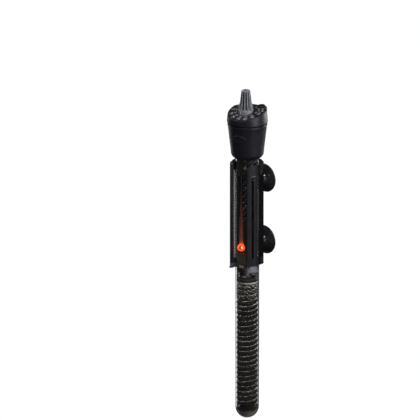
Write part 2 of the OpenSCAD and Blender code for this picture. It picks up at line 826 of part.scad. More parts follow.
module thermal_fuse() {
    color("#c9c4b4") in_place() translate([back_row_x, back_row_y, 0]) {
        translate([0, 0, shield_top]) cylinder(r = 0.4, h = guide_z - shield_top, $fn = 24);
        translate([0, 0, fuse_z]) cylinder(r = 1.5, h = 11, $fn = 32);
    }
}

module supply_leads() {
    low = disc_top + terminal_h;
    color("#5a2e22") in_place() for (side = [-1, 1]) translate([side * lead_x, lead_y, low])
        cylinder(d = lead_d, h = flange_z + flange_t - low, $fn = 32);
}

module heat_shield() {
    color(brown_board) in_place() difference() {
        translate([0, 0, shield_z]) cylinder(r = inner_r, h = shield_h);
        translate([0, 0, shield_z - 1]) cylinder(r = rod_hole_r, h = shield_h + 2);
        lead_holes(shield_z - 1, shield_h + 2);
    }
}

module shield_spacer() {
    color(bright_metal) in_place() translate([0, 0, disc_top + nut_h])
        washer(nut_r + 0.3, rod_hole_r, terminal_h);
}

module tie_rod_nuts() {
    color(bright_metal) in_place() for (z = [disc_top, shield_top]) translate([0, 0, z]) difference() {
        cylinder(r = nut_r, h = nut_h, $fn = 6);
        translate([0, 0, -1]) cylinder(r = rod_hole_r, h = nut_h + 2);
    }
}

// ---- Heating element ----

module core_tie_rod() {
    color(bright_metal) in_place() {
        translate([0, 0, disc_low_z - rod_head_h]) cylinder(r = rod_head_r, h = rod_head_h);
        translate([0, 0, disc_low_z - eps]) cylinder(d = rod_d, h = foot_top - disc_low_z);
    }
}

module end_disc(z, r) {
    color("#8a8780") in_place() translate([0, 0, z]) washer(r, rod_hole_r, disc_t);
}

module core_bottom_disc() end_disc(disc_low_z, disc_low_r);

module core_top_disc() end_disc(core_top, inner_r);

module ceramic_core() {
    color(ceramic) in_place() translate([0, 0, core_z]) difference() {
        union() {
            cylinder(r = core_r, h = winding_h);
            for (i = [0:core_ribs - 1]) rotate((i + 0.5) * 360 / core_ribs)
                translate([winding_r - coil_d / 2 - 0.1 - core_rib_r, 0, 0])
                cylinder(r = core_rib_r, h = winding_h, $fn = 24);
        }
        translate([0, 0, -1]) cylinder(r = rod_hole_r, h = winding_h + 2);
    }
}

module element_terminals() {
    color(bright_metal) in_place() for (side = [-1, 1]) translate([side * lead_x, lead_y, disc_top])
        cylinder(r = 1.3, h = terminal_h, $fn = 32);
}

module end_cushion() {
    color("#d8d4c8") in_place() difference() {
        rotate_extrude() translate([0, tube_r]) intersection() {
            circle(r = bore_r - seat_gap);
            translate([0, -tube_r]) square([tube_r, disc_low_z]);
        }
        translate([0, 0, disc_low_z - rod_head_h - 0.1]) cylinder(r = rod_head_r + 0.1, h = 5);
    }
}

// The winding is one tube. Its centre line is a list of [angle, height, slope] stations: a straight
// rise from the lower disc, a quarter bend, the loops, a quarter bend and a straight rise to the upper disc.
// The bends sweep the angle that a run of bend_r takes on the winding's radius.
ring_sides = 6;
rings_per_loop = 24;
bend_steps = 4;
bend_angle = bend_r / winding_r * 180 / PI;
loop_slope = atan(loop_pitch / (2 * PI * winding_r));
loops_z = core_z + coil_d + bend_r;
winding_stations = concat(
    [[0, core_z, 90]],
    [for (k = [0:bend_steps - 1]) let (a = 90 * k / bend_steps)
        [bend_angle * (1 - cos(a)), core_z + coil_d + bend_r * sin(a), 90 - a]],
    [for (k = [0:loops * rings_per_loop])
        [bend_angle + 360 * k / rings_per_loop, loops_z + loop_pitch * k / rings_per_loop, loop_slope]],
    [for (k = [1:bend_steps]) let (a = 90 * k / bend_steps)
        [bend_angle * (1 + sin(a)) + 360 * loops, loops_z + loop_pitch * loops + bend_r * (1 - cos(a)), a]],
    [[2 * bend_angle + 360 * loops, core_top, 90]]
);

function station_point(s) = [winding_r * cos(s[0]), winding_r * sin(s[0]), s[1]];
function ring_points(s) = let (
    out = [cos(s[0]), sin(s[0]), 0],
    along = [-sin(s[0]) * cos(s[2]), cos(s[0]) * cos(s[2]), sin(s[2])],
    side = cross(along, out)
) [for (j = [0:ring_sides - 1]) let (a = 360 * j / ring_sides)
    station_point(s) + coil_d / 2 * (cos(a) * out + sin(a) * side)];

winding_centres = [for (s = winding_stations) station_point(s)];
half_loop = rings_per_loop / 2;
least_gap = min([for (i = [0:len(winding_centres) - 1 - half_loop])
    for (j = [i + half_loop:min(i + 3 * half_loop, len(winding_centres) - 1)])
        norm(winding_centres[i] - winding_centres[j])]) - coil_d;
echo(heating_wire_least_gap_mm = least_gap);

module heating_wire() {
    rings = len(winding_stations);
    points = [for (s = winding_stations) each ring_points(s)];
    sides = [for (i = [0:rings - 2]) for (j = [0:ring_sides - 1]) let (
        a = i * ring_sides + j,
        b = i * ring_sides + (j + 1) % ring_sides,
        c = b + ring_sides,
        d = a + ring_sides
    ) each [[a, b, c], [a, c, d]]];
    last = (rings - 1) * ring_sides;
    ends = [for (j = [1:ring_sides - 2]) each [[0, j + 1, j], [last, last + j, last + j + 1]]];
    color("#8a8780") in_place() polyhedron(points = points, faces = concat(sides, ends));
}

bracket();
suction_cup_upper();
suction_cup_lower();
glass_tube();
head_body();
head_cap();
head_seal();
tube_o_ring();
tube_stopper();
cord_gland();
terminal_block();
terminal_screws();
spindle_seal();
seal_washer();
plunger_guide();
insulating_card();
thermostat_carrier();
carrier_eyelets();
blade_anchor();
anchor_rivets();
contact_arm();
fixed_contact();
snap_magnet();
neon_lamp();
lamp_electrodes();
lamp_sleeve();
lamp_leads();
lamp_resistor();
thermal_fuse();
supply_leads();
heat_shield();
shield_spacer();
tie_rod_nuts();
core_tie_rod();
element_terminals();
core_top_disc();
ceramic_core();
heating_wire();
core_bottom_disc();
end_cushion();
adjustment_knob();
knob_spindle();
adjusting_plunger();
bimetal_blade();
moving_contact();
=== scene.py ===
# The looks of a submersible aquarium heater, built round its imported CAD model.
# Metres, +Z up. The tank wall is the plane y = 0 and the heater stands in front of it, towards -Y.
# Sizes are written in millimetres in the heater's own frame, as in the part's source: height 0 at the
# round end of the glass and the tube's axis at x = y = 0. on_heater() takes such a point to the model.
import math

import bmesh
import bpy
from mathutils import Matrix, Vector


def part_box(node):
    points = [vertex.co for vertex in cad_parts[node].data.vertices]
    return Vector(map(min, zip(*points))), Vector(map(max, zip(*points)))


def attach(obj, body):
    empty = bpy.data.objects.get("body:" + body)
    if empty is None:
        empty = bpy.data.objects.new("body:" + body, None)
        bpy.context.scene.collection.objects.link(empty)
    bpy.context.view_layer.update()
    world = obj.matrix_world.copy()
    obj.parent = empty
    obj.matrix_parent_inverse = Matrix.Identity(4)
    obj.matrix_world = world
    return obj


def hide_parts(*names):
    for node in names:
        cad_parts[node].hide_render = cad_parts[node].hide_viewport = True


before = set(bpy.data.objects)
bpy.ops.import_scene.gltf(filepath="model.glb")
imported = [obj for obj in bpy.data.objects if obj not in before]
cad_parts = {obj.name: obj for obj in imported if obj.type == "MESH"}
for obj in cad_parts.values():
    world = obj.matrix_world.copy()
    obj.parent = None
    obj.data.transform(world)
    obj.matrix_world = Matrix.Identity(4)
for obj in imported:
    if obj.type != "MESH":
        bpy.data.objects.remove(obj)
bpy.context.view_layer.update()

MM = 0.001
SIDES = ((1, "right"), (-1, "left"))
scene = bpy.context.scene
glass_low, glass_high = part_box("glass_tube")
ORIGIN = Vector(((glass_low.x + glass_high.x) / 2, (glass_low.y + glass_high.y) / 2, glass_low.z))

# Glass
TUBE_R, BORE_R, TUBE_TOP, RIM_FILLET = 12.5, 11.3, 304, 0.55
# Head
HEAD_Z, SEAM_Z, CAP_TOP_Z = 287, 325.5, 339.2
FOOT_R, FOOT_ROUND, SEAM_R, LIP_H = 17.3, 7, 20.8, 3.1
FACE_CREASE, FACE_TILT = 1.75, math.radians(17)
DIAL_STEP, DIAL_MIDDLE, DIAL_NUMBERS = 27.5, 7.0, 11
GLAND_X, GLAND_Y, GLAND_R, GLAND_TOP = 5.03, 16.45, 4.5, 341.6
# Knob
KNOB_OFFSET, KNOB_Z, KNOB_H, CROWN_H = 2.4, 335.3, 26.3, 0.9
COLLAR_R, COLLAR_H, GRIP_R, KNOB_TOP_R, FLARE_H = 7.8, 4.9, 6.3, 4.7, 7.5
FLUTES, FLUTE_R, FLUTE_TOP_R, FLUTE_DEPTH = 12, 1.5, 0.95, 1.9
SPINDLE_R, SPINDLE_GRIP = 3, 14
# Bracket
JAW_R, CLIP_R, JAW_END = 15.35, 12.65, 84
BRACKET_LOW, LEDGE_Z, SKIRT_H, CUP_Z = 166, 271, 6.2, 34
TEETH, TOOTH_STEP = 31, 3.1
GRIP_LOW, GRIP_HIGH, GRIP_RIB = 176.5, 273.5, 1.7
# Element
CORE_Z, CORE_TOP, SKIRT_R = 10.7, 154.54, 10.87
LOOPS, LOOPS_Z, LOOP_PITCH, WINDING_R, COIL_R = 24, 15.9, 5.56, 9.5, 1.3
# The real coil has about 1 mm between its turns, which is drawn at 1.6 mm to show.
FINE_TURN, FINE_POINTS, COIL_WIRE_R = 1.6, 10, 0.44
LATTICE_LOW, LATTICE_HIGH = 133.5, 154.3
# Thermostat
EYELETS, EYELET_STEP, INNER_PIECE_R = 8, 6.7, 11
CARD_CUT, CARD_TOP = 165.5, 283.9
LEAD_X, LEAD_Y, LEAD_LOW, LEAD_HIGH = 8.484, 3.0, 164.54, 307
LAMP_X, LAMP_Y, LAMP_Z = -2.502, -6.192, 188.99
LAMP_FACES = (0.52, -0.835, 0.18)
GLOW_LOW, GLOW_HIGH = 192, 250
SLEEVE_LOW, SLEEVE_STEP, SLEEVE_TOP, SLEEVE_END = 192.3, 222, 236, 249


def on_heater(x, y, z):
    """A point in the heater's own frame, as a point of the model."""
    return ORIGIN + Vector((x, y, z)) * MM


def round_front(radius, angle):
    """A point at a distance from the tube's axis and an angle in degrees from the front towards +X."""
    a = math.radians(angle)
    return radius * math.sin(a), -radius * math.cos(a)


# ---- Materials ----

MATH, VECTOR_MATH, RANGE = "ShaderNodeMath", "ShaderNodeVectorMath", "ShaderNodeMapRange"
JOIN_XYZ, SPLIT_XYZ = "ShaderNodeCombineXYZ", "ShaderNodeSeparateXYZ"
MIX, NOISE, BUMP = "ShaderNodeMix", "ShaderNodeTexNoise", "ShaderNodeBump"
COLOURS = {"output": 2, "data_type": "RGBA"}  # Makes a Mix node mix colours
NOISE_ROUGHNESS = 0.55


def linear(colour):
    """An sRGB hex value as linear RGBA."""
    parts = [int(colour[i:i + 2], 16) / 255 for i in (1, 3, 5)]
    return (*[c / 12.92 if c <= 0.04045 else ((c + 0.055) / 1.055) ** 2.4 for c in parts], 1.0)


def fill(node, sockets):
    """Gives each of a node's sockets a value, a hex colour, or the output that it is linked to."""
    for socket, value in sockets.items():
        if isinstance(value, bpy.types.NodeSocket):
            node.id_data.links.new(value, node.inputs[socket])
        else:
            node.inputs[socket].default_value = linear(value) if isinstance(value, str) else value


def add(tree, kind, sockets=(), output=0, **settings):
    """Adds a node and returns one of its outputs. sockets is in the node's order, or by name or number."""
    made = tree.nodes.new(kind)
    for name, value in settings.items():
        setattr(made, name, value)
    fill(made, sockets if isinstance(sockets, dict) else dict(enumerate(sockets)))
    return made.outputs[output]


def new_material(name, **sockets):
    """A material, its tree and its Principled shader, with the shader's own sockets set."""
    material = bpy.data.materials.new(name)
    material.use_nodes = True
    shader = material.node_tree.nodes["Principled BSDF"]
    fill(shader, {socket.replace("_", " "): value for socket, value in sockets.items()})
    return material, material.node_tree, shader


def own_place(tree, **mapping):
    """The piece's own coordinates, moved, turned or stretched for a pattern."""
    place = add(tree, "ShaderNodeTexCoord", output="Object")
    return add(tree, "ShaderNodeMapping", {"Vector": place, **mapping})


def patches(tree, vector, size_mm, low=0.0, high=1.0, start=0.3):
    """Soft patches that measure about size_mm, from low to high."""
    cloud = add(tree, NOISE, {
        "Vector": vector, "Scale": 1 / (size_mm * MM), "Detail": 3.0, "Roughness": NOISE_ROUGHNESS,
    })
    return add(tree, RANGE, [cloud, start, 0.7, low, high])


def finish(name, dark, light, patch_mm, roughness, grain_mm, depth_mm, stretch=(1, 1, 1), **sockets):
    """A solid finish: two close shades in patches, roughness that wanders, and a fine raised grain.
    The real grain of these finishes is 0.05 to 0.2 mm wide, and it is drawn coarser to show."""
    material, tree, shader = new_material(name, **sockets)
    vector = own_place(tree, Scale=stretch)
    grain = add(tree, NOISE, {
        "Vector": vector, "Scale": 1 / (grain_mm * MM), "Detail": 2.0, "Roughness": NOISE_ROUGHNESS,
    })
    shade = patches(tree, vector, patch_mm)
    fill(shader, {
        "Base Color": add(tree, MIX, {0: shade, 6: dark, 7: light}, **COLOURS),
        "Roughness": patches(tree, vector, patch_mm * 0.4, *roughness),
        "Normal": add(tree, BUMP, {"Height": grain, "Distance": depth_mm * MM}),
    })
    return material


# Black ABS from a spark-eroded mould: a deep satin black whose fine grain breaks up the highlights.
head_abs = finish("abs_black_spark_satin", "#100f16", "#191822", 14, (0.36, 0.46), 0.5, 0.015, IOR=1.5)
# Glass-filled nylon, moulded: dark grey with a dull sheen and a faint flow mottle; painted shade behind the
# jaws and a painted highlight on the skirts are added below.
bracket_nylon = finish("nylon_charcoal_moulded", "#0c0c12", "#15151d", 9, (0.3, 0.42), 0.7, 0.02, IOR=1.53)
# The same nylon, drawn much lighter than the skin beside it as a painted highlight, with the same dull sheen.
painted_highlight_nylon = finish("nylon_charcoal_painted_highlight", "#66666c", "#8a8a92", 2.2, (0.3, 0.42), 0.7, 0.02, IOR=1.53)
# The same nylon on the teeth: a coarse dark skin.
tooth_nylon = finish("nylon_charcoal_coarse", "#101013", "#242428", 2.2, (0.34, 0.46), 0.7, 0.03,
                     IOR=1.53, Specular_IOR_Level=0.35)
# Grey thermoplastic rubber, moulded on the jaws: matt and a little dusty, drawn pale as a painted highlight
# along the jaw's front edge.
grip_rubber_painted_highlight = finish("thermoplastic_rubber_painted_highlight", "#b4b3ae", "#dcdad4", 1.7, (0.6, 0.75), 0.6, 0.06, IOR=1.5)
# The same rubber between the ribs: a darker grey, painted shade between the ribs.
grip_painted_shade = finish("thermoplastic_rubber_painted_shade", "#4c4b49", "#6e6d68", 1.7, (0.65, 0.8), 0.6, 0.06, IOR=1.5)
# Grey ABS, moulded: an even mid grey that catches light along the ribs; painted shade darkens its flutes
# below.
knob_abs = finish("abs_grey_moulded", "#6a6b70", "#85868c", 5, (0.24, 0.34), 0.5, 0.012, IOR=1.5)
# Moulded nitrile rubber: near black, with soft wide highlights.
nitrile = finish("nitrile_rubber_black", "#0c0c0d", "#141416", 6, (0.55, 0.68), 0.6, 0.02, IOR=1.52,
                 Specular_IOR_Level=0.2)
# Moulded soft PVC of the suction cups: a smooth and slightly oily black.
cup_pvc = finish("soft_pvc_smoked", "#151517", "#232326", 12, (0.22, 0.34), 2.5, 0.03, IOR=1.54)
# Steatite ceramic, fired without a glaze: chalky and pale, with fine pits.
steatite = finish("steatite_unglazed", "#a39d8d", "#c2bcab", 4, (0.7, 0.85), 0.4, 0.03, IOR=1.6)
# Steatite darkened by heat: brown black, dry, with a coarse fired skin.
core_steatite = finish("steatite_heat_darkened", "#060505", "#100d0a", 5, (0.7, 0.88), 0.8, 0.05,
                       IOR=1.6, Specular_IOR_Level=0.06)
# Phenolic paper board, pressed: dark brown and mottled, with fibres that run across the piece.
board = finish("phenolic_board_pressed", "#040302", "#3a2a1a", 1.3, (0.5, 0.68), 0.6, 0.05,
               stretch=(0.35, 0.35, 1.6), IOR=1.58, Specular_IOR_Level=0.25)
# Phenolic carrier, moulded: a brown black that hides in the tube.
phenolic = finish("phenolic_black_moulded", "#0b0907", "#17120e", 5, (0.5, 0.65), 0.6, 0.02, IOR=1.58,
                  Specular_IOR_Level=0.06)
# Nickel plate over pressed steel: bright, a little warm, with fine drawing lines up the piece.
nickel = finish("steel_nickel_plated", "#8f8c84", "#b3b0a8", 3, (0.2, 0.36), 0.3, 0.008, stretch=(3, 3, 0.3),
                Metallic=1.0)
# Nickel electrodes, blackened by use: dark, with a dull metal sheen.
electrode_nickel = finish("nickel_electrode_dark", "#1c0d08", "#2e170e", 1.0, (0.4, 0.6), 0.4, 0.02,
                          Metallic=1.0)
# Fresh tin on wire ends and rivets, dipped: pale, soft and cloudy, and bright even deep in the tube.
tin = finish("solder_tin_dipped", "#a5a49e", "#cfcec8", 1.2, (0.34, 0.5), 0.4, 0.02, Metallic=1.0)
# Oxidised tin on the rolled eyelets: a darker grey beside the fresh solder.
oxide_tin = finish("eyelet_tin_oxidised", "#3f3e3b", "#64625d", 1.2, (0.34, 0.5), 0.4, 0.02, Metallic=1.0)
# Turned brass: yellow metal with faint turning rings.
brass = finish("brass_turned", "#a8843c", "#c6a457", 3, (0.22, 0.36), 0.25, 0.008,
               stretch=(0.3, 0.3, 4), Metallic=1.0)
# Pressed black card: flat black, with a soft fibre mottle.
black_card = finish("card_black_pressed", "#080706", "#13100d", 3, (0.75, 0.9), 0.6, 0.03, IOR=1.45,
                    Specular_IOR_Level=0.05)
# Sintered ferrite: dull dark grey with a sandy skin.
ferrite = finish("ferrite_sintered", "#2c2c30", "#45454a", 2, (0.55, 0.7), 0.4, 0.03, IOR=2.0)
# Split mica, smoked by heat: dark flakes with a soft pearly shine.
mica = finish("mica_split", "#0e0b08", "#251f19", 2.2, (0.3, 0.5), 1.2, 0.04, stretch=(1, 1, 4), IOR=1.59)
# Lacquered resistor: tan brown with a wet shine.
lacquer = finish("resistor_lacquer_tan", "#6e4f33", "#8f6a46", 1.5, (0.15, 0.25), 0.8, 0.02, IOR=1.52,
                 Coat_Weight=0.6, Coat_Roughness=0.08)
# Mineral wool felt, browned by heat: fully matt, with a loose fibre grain.
wool = finish("mineral_wool_felt", "#4a443a", "#6e675a", 1.2, (0.9, 1.0), 0.5, 0.25, IOR=1.45)
# White pad-printed ink: thick, and a little worn.
pointer_ink = finish("pointer_ink_white", "#b9babc", "#dcdddf", 1.0, (0.45, 0.6), 0.3, 0.01, IOR=1.5)
# Pad-printed ink of the dial: pale grey, thin and matt.
ink = finish("dial_ink_pale", "#7e7f84", "#a6a7ad", 1.0, (0.55, 0.7), 0.3, 0.01, IOR=1.5)


def bracket_wear(material):
    """Paints shade on the moulding behind the jaws, near black and a little glossier there, and paints a
    highlight on the skirts, lighter below the skirts' top."""
    tree, shader = material.node_tree, material.node_tree.nodes["Principled BSDF"]
    place = add(tree, SPLIT_XYZ, [own_place(tree)]).node.outputs
    skirt_top = on_heater(0, 0, BRACKET_LOW + SKIRT_H).z
    painted_highlight = add(tree, RANGE, [place["Z"], skirt_top - 1.2 * MM, skirt_top, 1.0, 0.0])
    behind = add(tree, RANGE, [place["Y"], on_heater(0, -1.6, 0).y, on_heater(0, 0.6, 0).y])
    unpainted, rough = (shader.inputs[name].links[0].from_socket for name in ("Base Color", "Roughness"))
    # Painted highlight: the skirts drawn lighter
    with_painted_highlight = add(tree, MIX, {0: painted_highlight, 6: unpainted, 7: "#4e4e55"}, **COLOURS)
    fill(shader, {
        # Painted shade: the moulding behind the jaws drawn near black
        "Base Color": add(tree, MIX, {0: behind, 6: with_painted_highlight, 7: "#050506"}, **COLOURS),
        "Roughness": add(tree, MATH, [behind, -0.16, rough], operation="MULTIPLY_ADD"),
    })


def handled_flutes(material):
    """Darkens the knob's flutes with painted shade, and leaves its ribs at the lighter grey of the moulding.
    """
    tree, shader = material.node_tree, material.node_tree.nodes["Principled BSDF"]
    centre = on_heater(0, -KNOB_OFFSET, KNOB_Z + COLLAR_H)
    place = add(tree, SPLIT_XYZ, [own_place(tree, Location=-centre)]).node.outputs
    turn = add(tree, MATH, [place["X"], place["Y"]], operation="ARCTAN2")
    wave = add(tree, MATH, [turn, float(FLUTES)], operation="MULTIPLY")
    depth = add(tree, RANGE, [add(tree, MATH, [wave], operation="COSINE"), -0.5, 0.55, 1.0, 0.0])
    top = KNOB_H - COLLAR_H
    for fade in ([0.0, 1.5 * MM], [(top - 2.0) * MM, (top - 0.8) * MM, 1.0, 0.0]):
        depth = add(tree, MATH, [depth, add(tree, RANGE, [place["Z"], *fade])], operation="MULTIPLY")
    unpainted = shader.inputs["Base Color"].links[0].from_socket
    # Painted shade: the flutes drawn near black
    fill(shader, {"Base Color": add(tree, MIX, {0: depth, 6: unpainted, 7: "#18181c"}, **COLOURS)})


def resistance_wire():
    """Oxidised resistance wire: a grey metal with faint brown heat tints that drift along the coil."""
    material, tree, shader = new_material("wire_oxidised_resistance", Metallic=1.0)
    vector = own_place(tree)
    wear, tint = patches(tree, vector, 0.9), patches(tree, vector, 7, start=0.4)
    bare = add(tree, MIX, {0: wear, 6: "#a49f96", 7: "#d8d3cb"}, **COLOURS)
    fill(shader, {
        "Base Color": add(tree, MIX, {0: tint, 6: bare, 7: "#9e8f7e"}, **COLOURS),
        "Roughness": add(tree, RANGE, [wear, 0.0, 1.0, 0.14, 0.24]),
    })
    return material


def braid():
    """Varnished glass-fibre sleeving on the leads: dark red brown, with crossing threads. They are 0.5 mm
    apart in reality and drawn 5 mm apart to show, which is 0.8 mm for each radian of the wave."""
    material, tree, shader = new_material("glass_sleeving_varnished", IOR=1.5)
    # The node's wave runs through 20 radians in each unit of its scale
    both_ways = [add(tree, "ShaderNodeTexWave", {
        "Vector": own_place(tree, Rotation=(lean, 0.0, 0.0)), "Scale": 1 / (0.8 * MM) / 20,
    }, "Fac", bands_direction="Z") for lean in (0.8, -0.8)]
    threads = add(tree, MATH, both_ways, operation="MAXIMUM")
    fill(shader, {
        "Base Color": add(tree, MIX, {0: threads, 6: "#2c120c", 7: "#6a3626"}, **COLOURS),
        "Roughness": add(tree, RANGE, [threads, 0.0, 1.0, 0.7, 0.45]),
        "Normal": add(tree, BUMP, {"Height": threads, "Distance": 0.12 * MM}),
    })
    return material


def clear_glass():
    """Drawn borosilicate tube: clear, with very faint draw lines and a bright edge where it turns away."""
    material, tree, shader = new_material("glass_borosilicate_drawn", Base_Color="#fbfdfd", Roughness=0.02,
                                          IOR=1.47, Transmission_Weight=1.0)
    vector = own_place(tree, Scale=(1, 1, 0.02))
    lines = add(tree, NOISE, {
        "Vector": vector, "Scale": 1 / (3.0 * MM), "Detail": 1.0, "Roughness": NOISE_ROUGHNESS,
    })
    fill(shader, {"Normal": add(tree, BUMP, {"Height": lines, "Distance": 0.01 * MM})})
    return material


def lamp_glass():
    """Blown neon envelope: thin glass that glows in an orange ring, round the way the dark plate faces."""
    material, tree, shader = new_material("glass_neon_envelope", Base_Color="#ffa478", Roughness=0.1,
                                          IOR=1.47, Transmission_Weight=0.8)
    vector = own_place(tree)
    away = add(tree, VECTOR_MATH, [vector, on_heater(LAMP_X, LAMP_Y, LAMP_Z)], operation="SUBTRACT")
    off_line = add(tree, VECTOR_MATH, [away, LAMP_FACES], operation="CROSS_PRODUCT")
    distance = add(tree, VECTOR_MATH, [off_line], "Value", operation="LENGTH")
    cloud = patches(tree, vector, 4)
    fill(shader, {
        "Emission Color": add(tree, MIX, {0: cloud, 6: "#f0480f", 7: "#ff7a28"}, **COLOURS),
        "Emission Strength": add(tree, RANGE, [distance, 1.7 * MM, 3.1 * MM, 0.04, 0.4]),
    })
    return material


def burning_gas():
    """Neon gas at the live electrode: a plain hot light, a little uneven."""
    material, tree, shader = new_material("neon_glow_hot", Base_Color="#ffdc84", Roughness=0.5,
                                          Emission_Strength=6.0)
    cloud = patches(tree, own_place(tree), 1.2)
    fill(shader, {"Emission Color": add(tree, MIX, {0: cloud, 6: "#ffdc84", 7: "#fff2b8"}, **COLOURS)})
    return material


def lamp_sleeving():
    """Silicone sleeve on the lamp's stalk: reddish brown, with the lamp's light painted on as a lighter
    colour and a glow at the foot, dull above.
    """
    material, tree, shader = new_material("silicone_sleeve_red_brown", Roughness=0.4, IOR=1.43)
    low_z, high_z = ORIGIN.z + GLOW_LOW * MM, ORIGIN.z + GLOW_HIGH * MM
    vector = own_place(tree)
    height = add(tree, SPLIT_XYZ, [vector], "Z")
    rise = add(tree, RANGE, [height, low_z, high_z, 1.0, 0.0])
    foot = add(tree, RANGE, [height, low_z, low_z + 7 * MM, 1.0, 0.0])
    glow = add(tree, MATH, [rise, 2.2], operation="POWER")
    glow = add(tree, MATH, [glow, patches(tree, vector, 1.5, 0.75)], operation="MULTIPLY")
    glow = add(tree, RANGE, [glow, 0.0, 1.0, 0.03, 0.2])
    # Painted light from the lamp: lighter and glowing towards the foot
    fill(shader, {
        "Base Color": add(tree, MIX, {0: rise, 6: "#1c110c", 7: "#5a3020"}, **COLOURS),
        "Emission Color": add(tree, MIX, {0: foot, 6: "#a04a2c", 7: "#ff5a26"}, **COLOURS),
        "Emission Strength": add(tree, MATH, [foot, foot, glow], operation="MULTIPLY_ADD"),
    })
    return material


bracket_wear(bracket_nylon)
handled_flutes(knob_abs)
wire_metal, lead_braid, tube_glass, envelope = resistance_wire(), braid(), clear_glass(), lamp_glass()
electrode_glow, sleeve_silicone = burning_gas(), lamp_sleeving()

CAD_FINISHES = {
    steatite: ["terminal_block", "thermal_fuse"],
    nickel: ["terminal_screws", "anchor_rivets", "contact_arm", "lamp_leads", "shield_spacer",
             "tie_rod_nuts", "core_tie_rod", "element_terminals", "knob_spindle", "bimetal_blade"],
    brass: ["seal_washer", "fixed_contact", "moving_contact", "adjusting_plunger"],
    oxide_tin: ["carrier_eyelets"],
    board: ["blade_anchor", "heat_shield"],
    phenolic: ["thermostat_carrier", "plunger_guide"],
    black_card: ["insulating_card"],
    ferrite: ["snap_magnet"],
    mica: ["core_top_disc", "core_bottom_disc"],
    core_steatite: ["ceramic_core"],
    lacquer: ["lamp_resistor"],
    lead_braid: ["supply_leads"],
    envelope: ["neon_lamp"],
    electrode_nickel: ["lamp_electrodes"],
    sleeve_silicone: ["lamp_sleeve"],
    nitrile: ["tube_stopper", "spindle_seal", "tube_o_ring", "head_seal", "cord_gland", "suction_cup_upper",
              "suction_cup_lower"],
    head_abs: ["head_body", "head_cap"],
    bracket_nylon: ["bracket"],
    knob_abs: ["adjustment_knob"],
    tube_glass: ["glass_tube"],
    wire_metal: ["heating_wire"],
    wool: ["end_cushion"],
}
for material, nodes in CAD_FINISHES.items():
    for node in nodes:
        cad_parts[node].data.materials.clear()
        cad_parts[node].data.materials.append(material)

# The body and the slot of the new pieces, which follow from what each is made of
PLACES = {
    ("bracket", "bracket_plastic"): [bracket_nylon, painted_highlight_nylon, tooth_nylon, grip_rubber_painted_highlight, grip_painted_shade],
    ("bracket", "cup_rubber"): [cup_pvc],
    ("knob", "knob_plastic"): [knob_abs, pointer_ink],
    ("heater", "knob_plastic"): [ink],
    ("heater", "head_plastic"): [head_abs],
    ("heater", "seal_rubber"): [nitrile],
    ("heater", "glass"): [tube_glass],
    ("heater", "cushion"): [wool],
    ("heater", "resistance_wire"): [wire_metal],
    ("heater", "core_ceramic"): [core_steatite],
    ("heater", "plated_steel"): [nickel, tin, oxide_tin],
    ("heater", "black_card"): [black_card],
    ("heater", "lead_insulation"): [lead_braid],
    ("heater", "lamp_glow"): [electrode_glow, electrode_nickel],
    ("heater", "lamp_sleeve"): [sleeve_silicone],
}
PLACE_OF = {material.name: place for place, materials in PLACES.items() for material in materials}


# ---- Meshes ----


def new_object(name, data):
    """A new object, linked to the scene."""
    made = bpy.data.objects.new(name, data)
    scene.collection.objects.link(made)
    return made


def new_piece(name, mesh, material, stands_for=(), sharp=None):
    """Makes a finished mesh a piece on a body. stands_for lists the CAD nodes that it replaces, and sharp is
    the angle past which an edge stays crisp."""
    piece = new_object(name, mesh)
    mesh.materials.clear()
    mesh.materials.append(material)
    mesh.shade_smooth()
    if sharp is not None:
        mesh.set_sharp_from_angle(angle=math.radians(sharp))
    body, slot = PLACE_OF[material.name]
    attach(piece, body)
    if stands_for:
        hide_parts(*stands_for)
    return piece


def mesh_of(bm, name):
    """A bmesh, written to a new mesh."""
    mesh = bpy.data.meshes.new(name)
    bm.to_mesh(mesh)
    bm.free()
    return mesh


def evaluated(holder):
    """What an object evaluates to, as a plain mesh. The object and its modifier go."""
    mesh = bpy.data.meshes.new_from_object(holder.evaluated_get(bpy.context.evaluated_depsgraph_get()))
    holder.modifiers.clear()
    bpy.data.objects.remove(holder)
    return mesh


def skin(rings, loop=False):
    """A closed mesh over rings of model points, where one point is a pole. loop joins last ring to first."""
    bm = bmesh.new()
    made = [[bm.verts.new(p) for p in ring] for ring in rings]
    for first, second in list(zip(made, made[1:])) + ([(made[-1], made[0])] if loop else []):
        for i in range(max(len(first), len(second))):
            corners = [first[i % len(first)], first[(i + 1) % len(first)],
                       second[(i + 1) % len(second)], second[i % len(second)]]
            bm.faces.new(list(dict.fromkeys(corners)))
    ends = () if loop else (made[0], made[-1])
    for end in ends:
        if len(end) > 2:
            bm.faces.new(end)
    bmesh.ops.recalc_face_normals(bm, faces=bm.faces)
    return mesh_of(bm, "skin")


def softened(outline, closed=True, steps=4):
    """An outline of (radius, height, fillet) corners with each fillet turned into an arc."""
    count, soft = len(outline), []
    for i, (x, y, fillet) in enumerate(outline):
        if fillet <= 0 or (not closed and i in (0, count - 1)):
            soft.append((x, y))
            continue
        here, before, after = Vector((x, y)), Vector(outline[i - 1][:2]), Vector(outline[(i + 1) % count][:2])
        back, ahead = before - here, after - here
        half = back.angle(ahead) / 2
        # A corner that is all but straight has nothing to round
        if half > math.radians(89):
            soft.append((x, y))
            continue
        reach = min(fillet / math.tan(half), back.length * 0.49, ahead.length * 0.49)
        start, end = here + back.normalized() * reach, here + ahead.normalized() * reach
        for k in range(steps + 1):
            t = k / steps
            soft.append(tuple(start * (1 - t) ** 2 + here * 2 * t * (1 - t) + end * t ** 2))
    return soft


def bowl(radius, centre_z, angles, centre_r=0.0):
    """Points (radius, height) of a round, at angles in degrees from its lowest point."""
    turns = [math.radians(angle) for angle in angles]
    return [(centre_r + radius * math.sin(a), centre_z - radius * math.cos(a)) for a in turns]


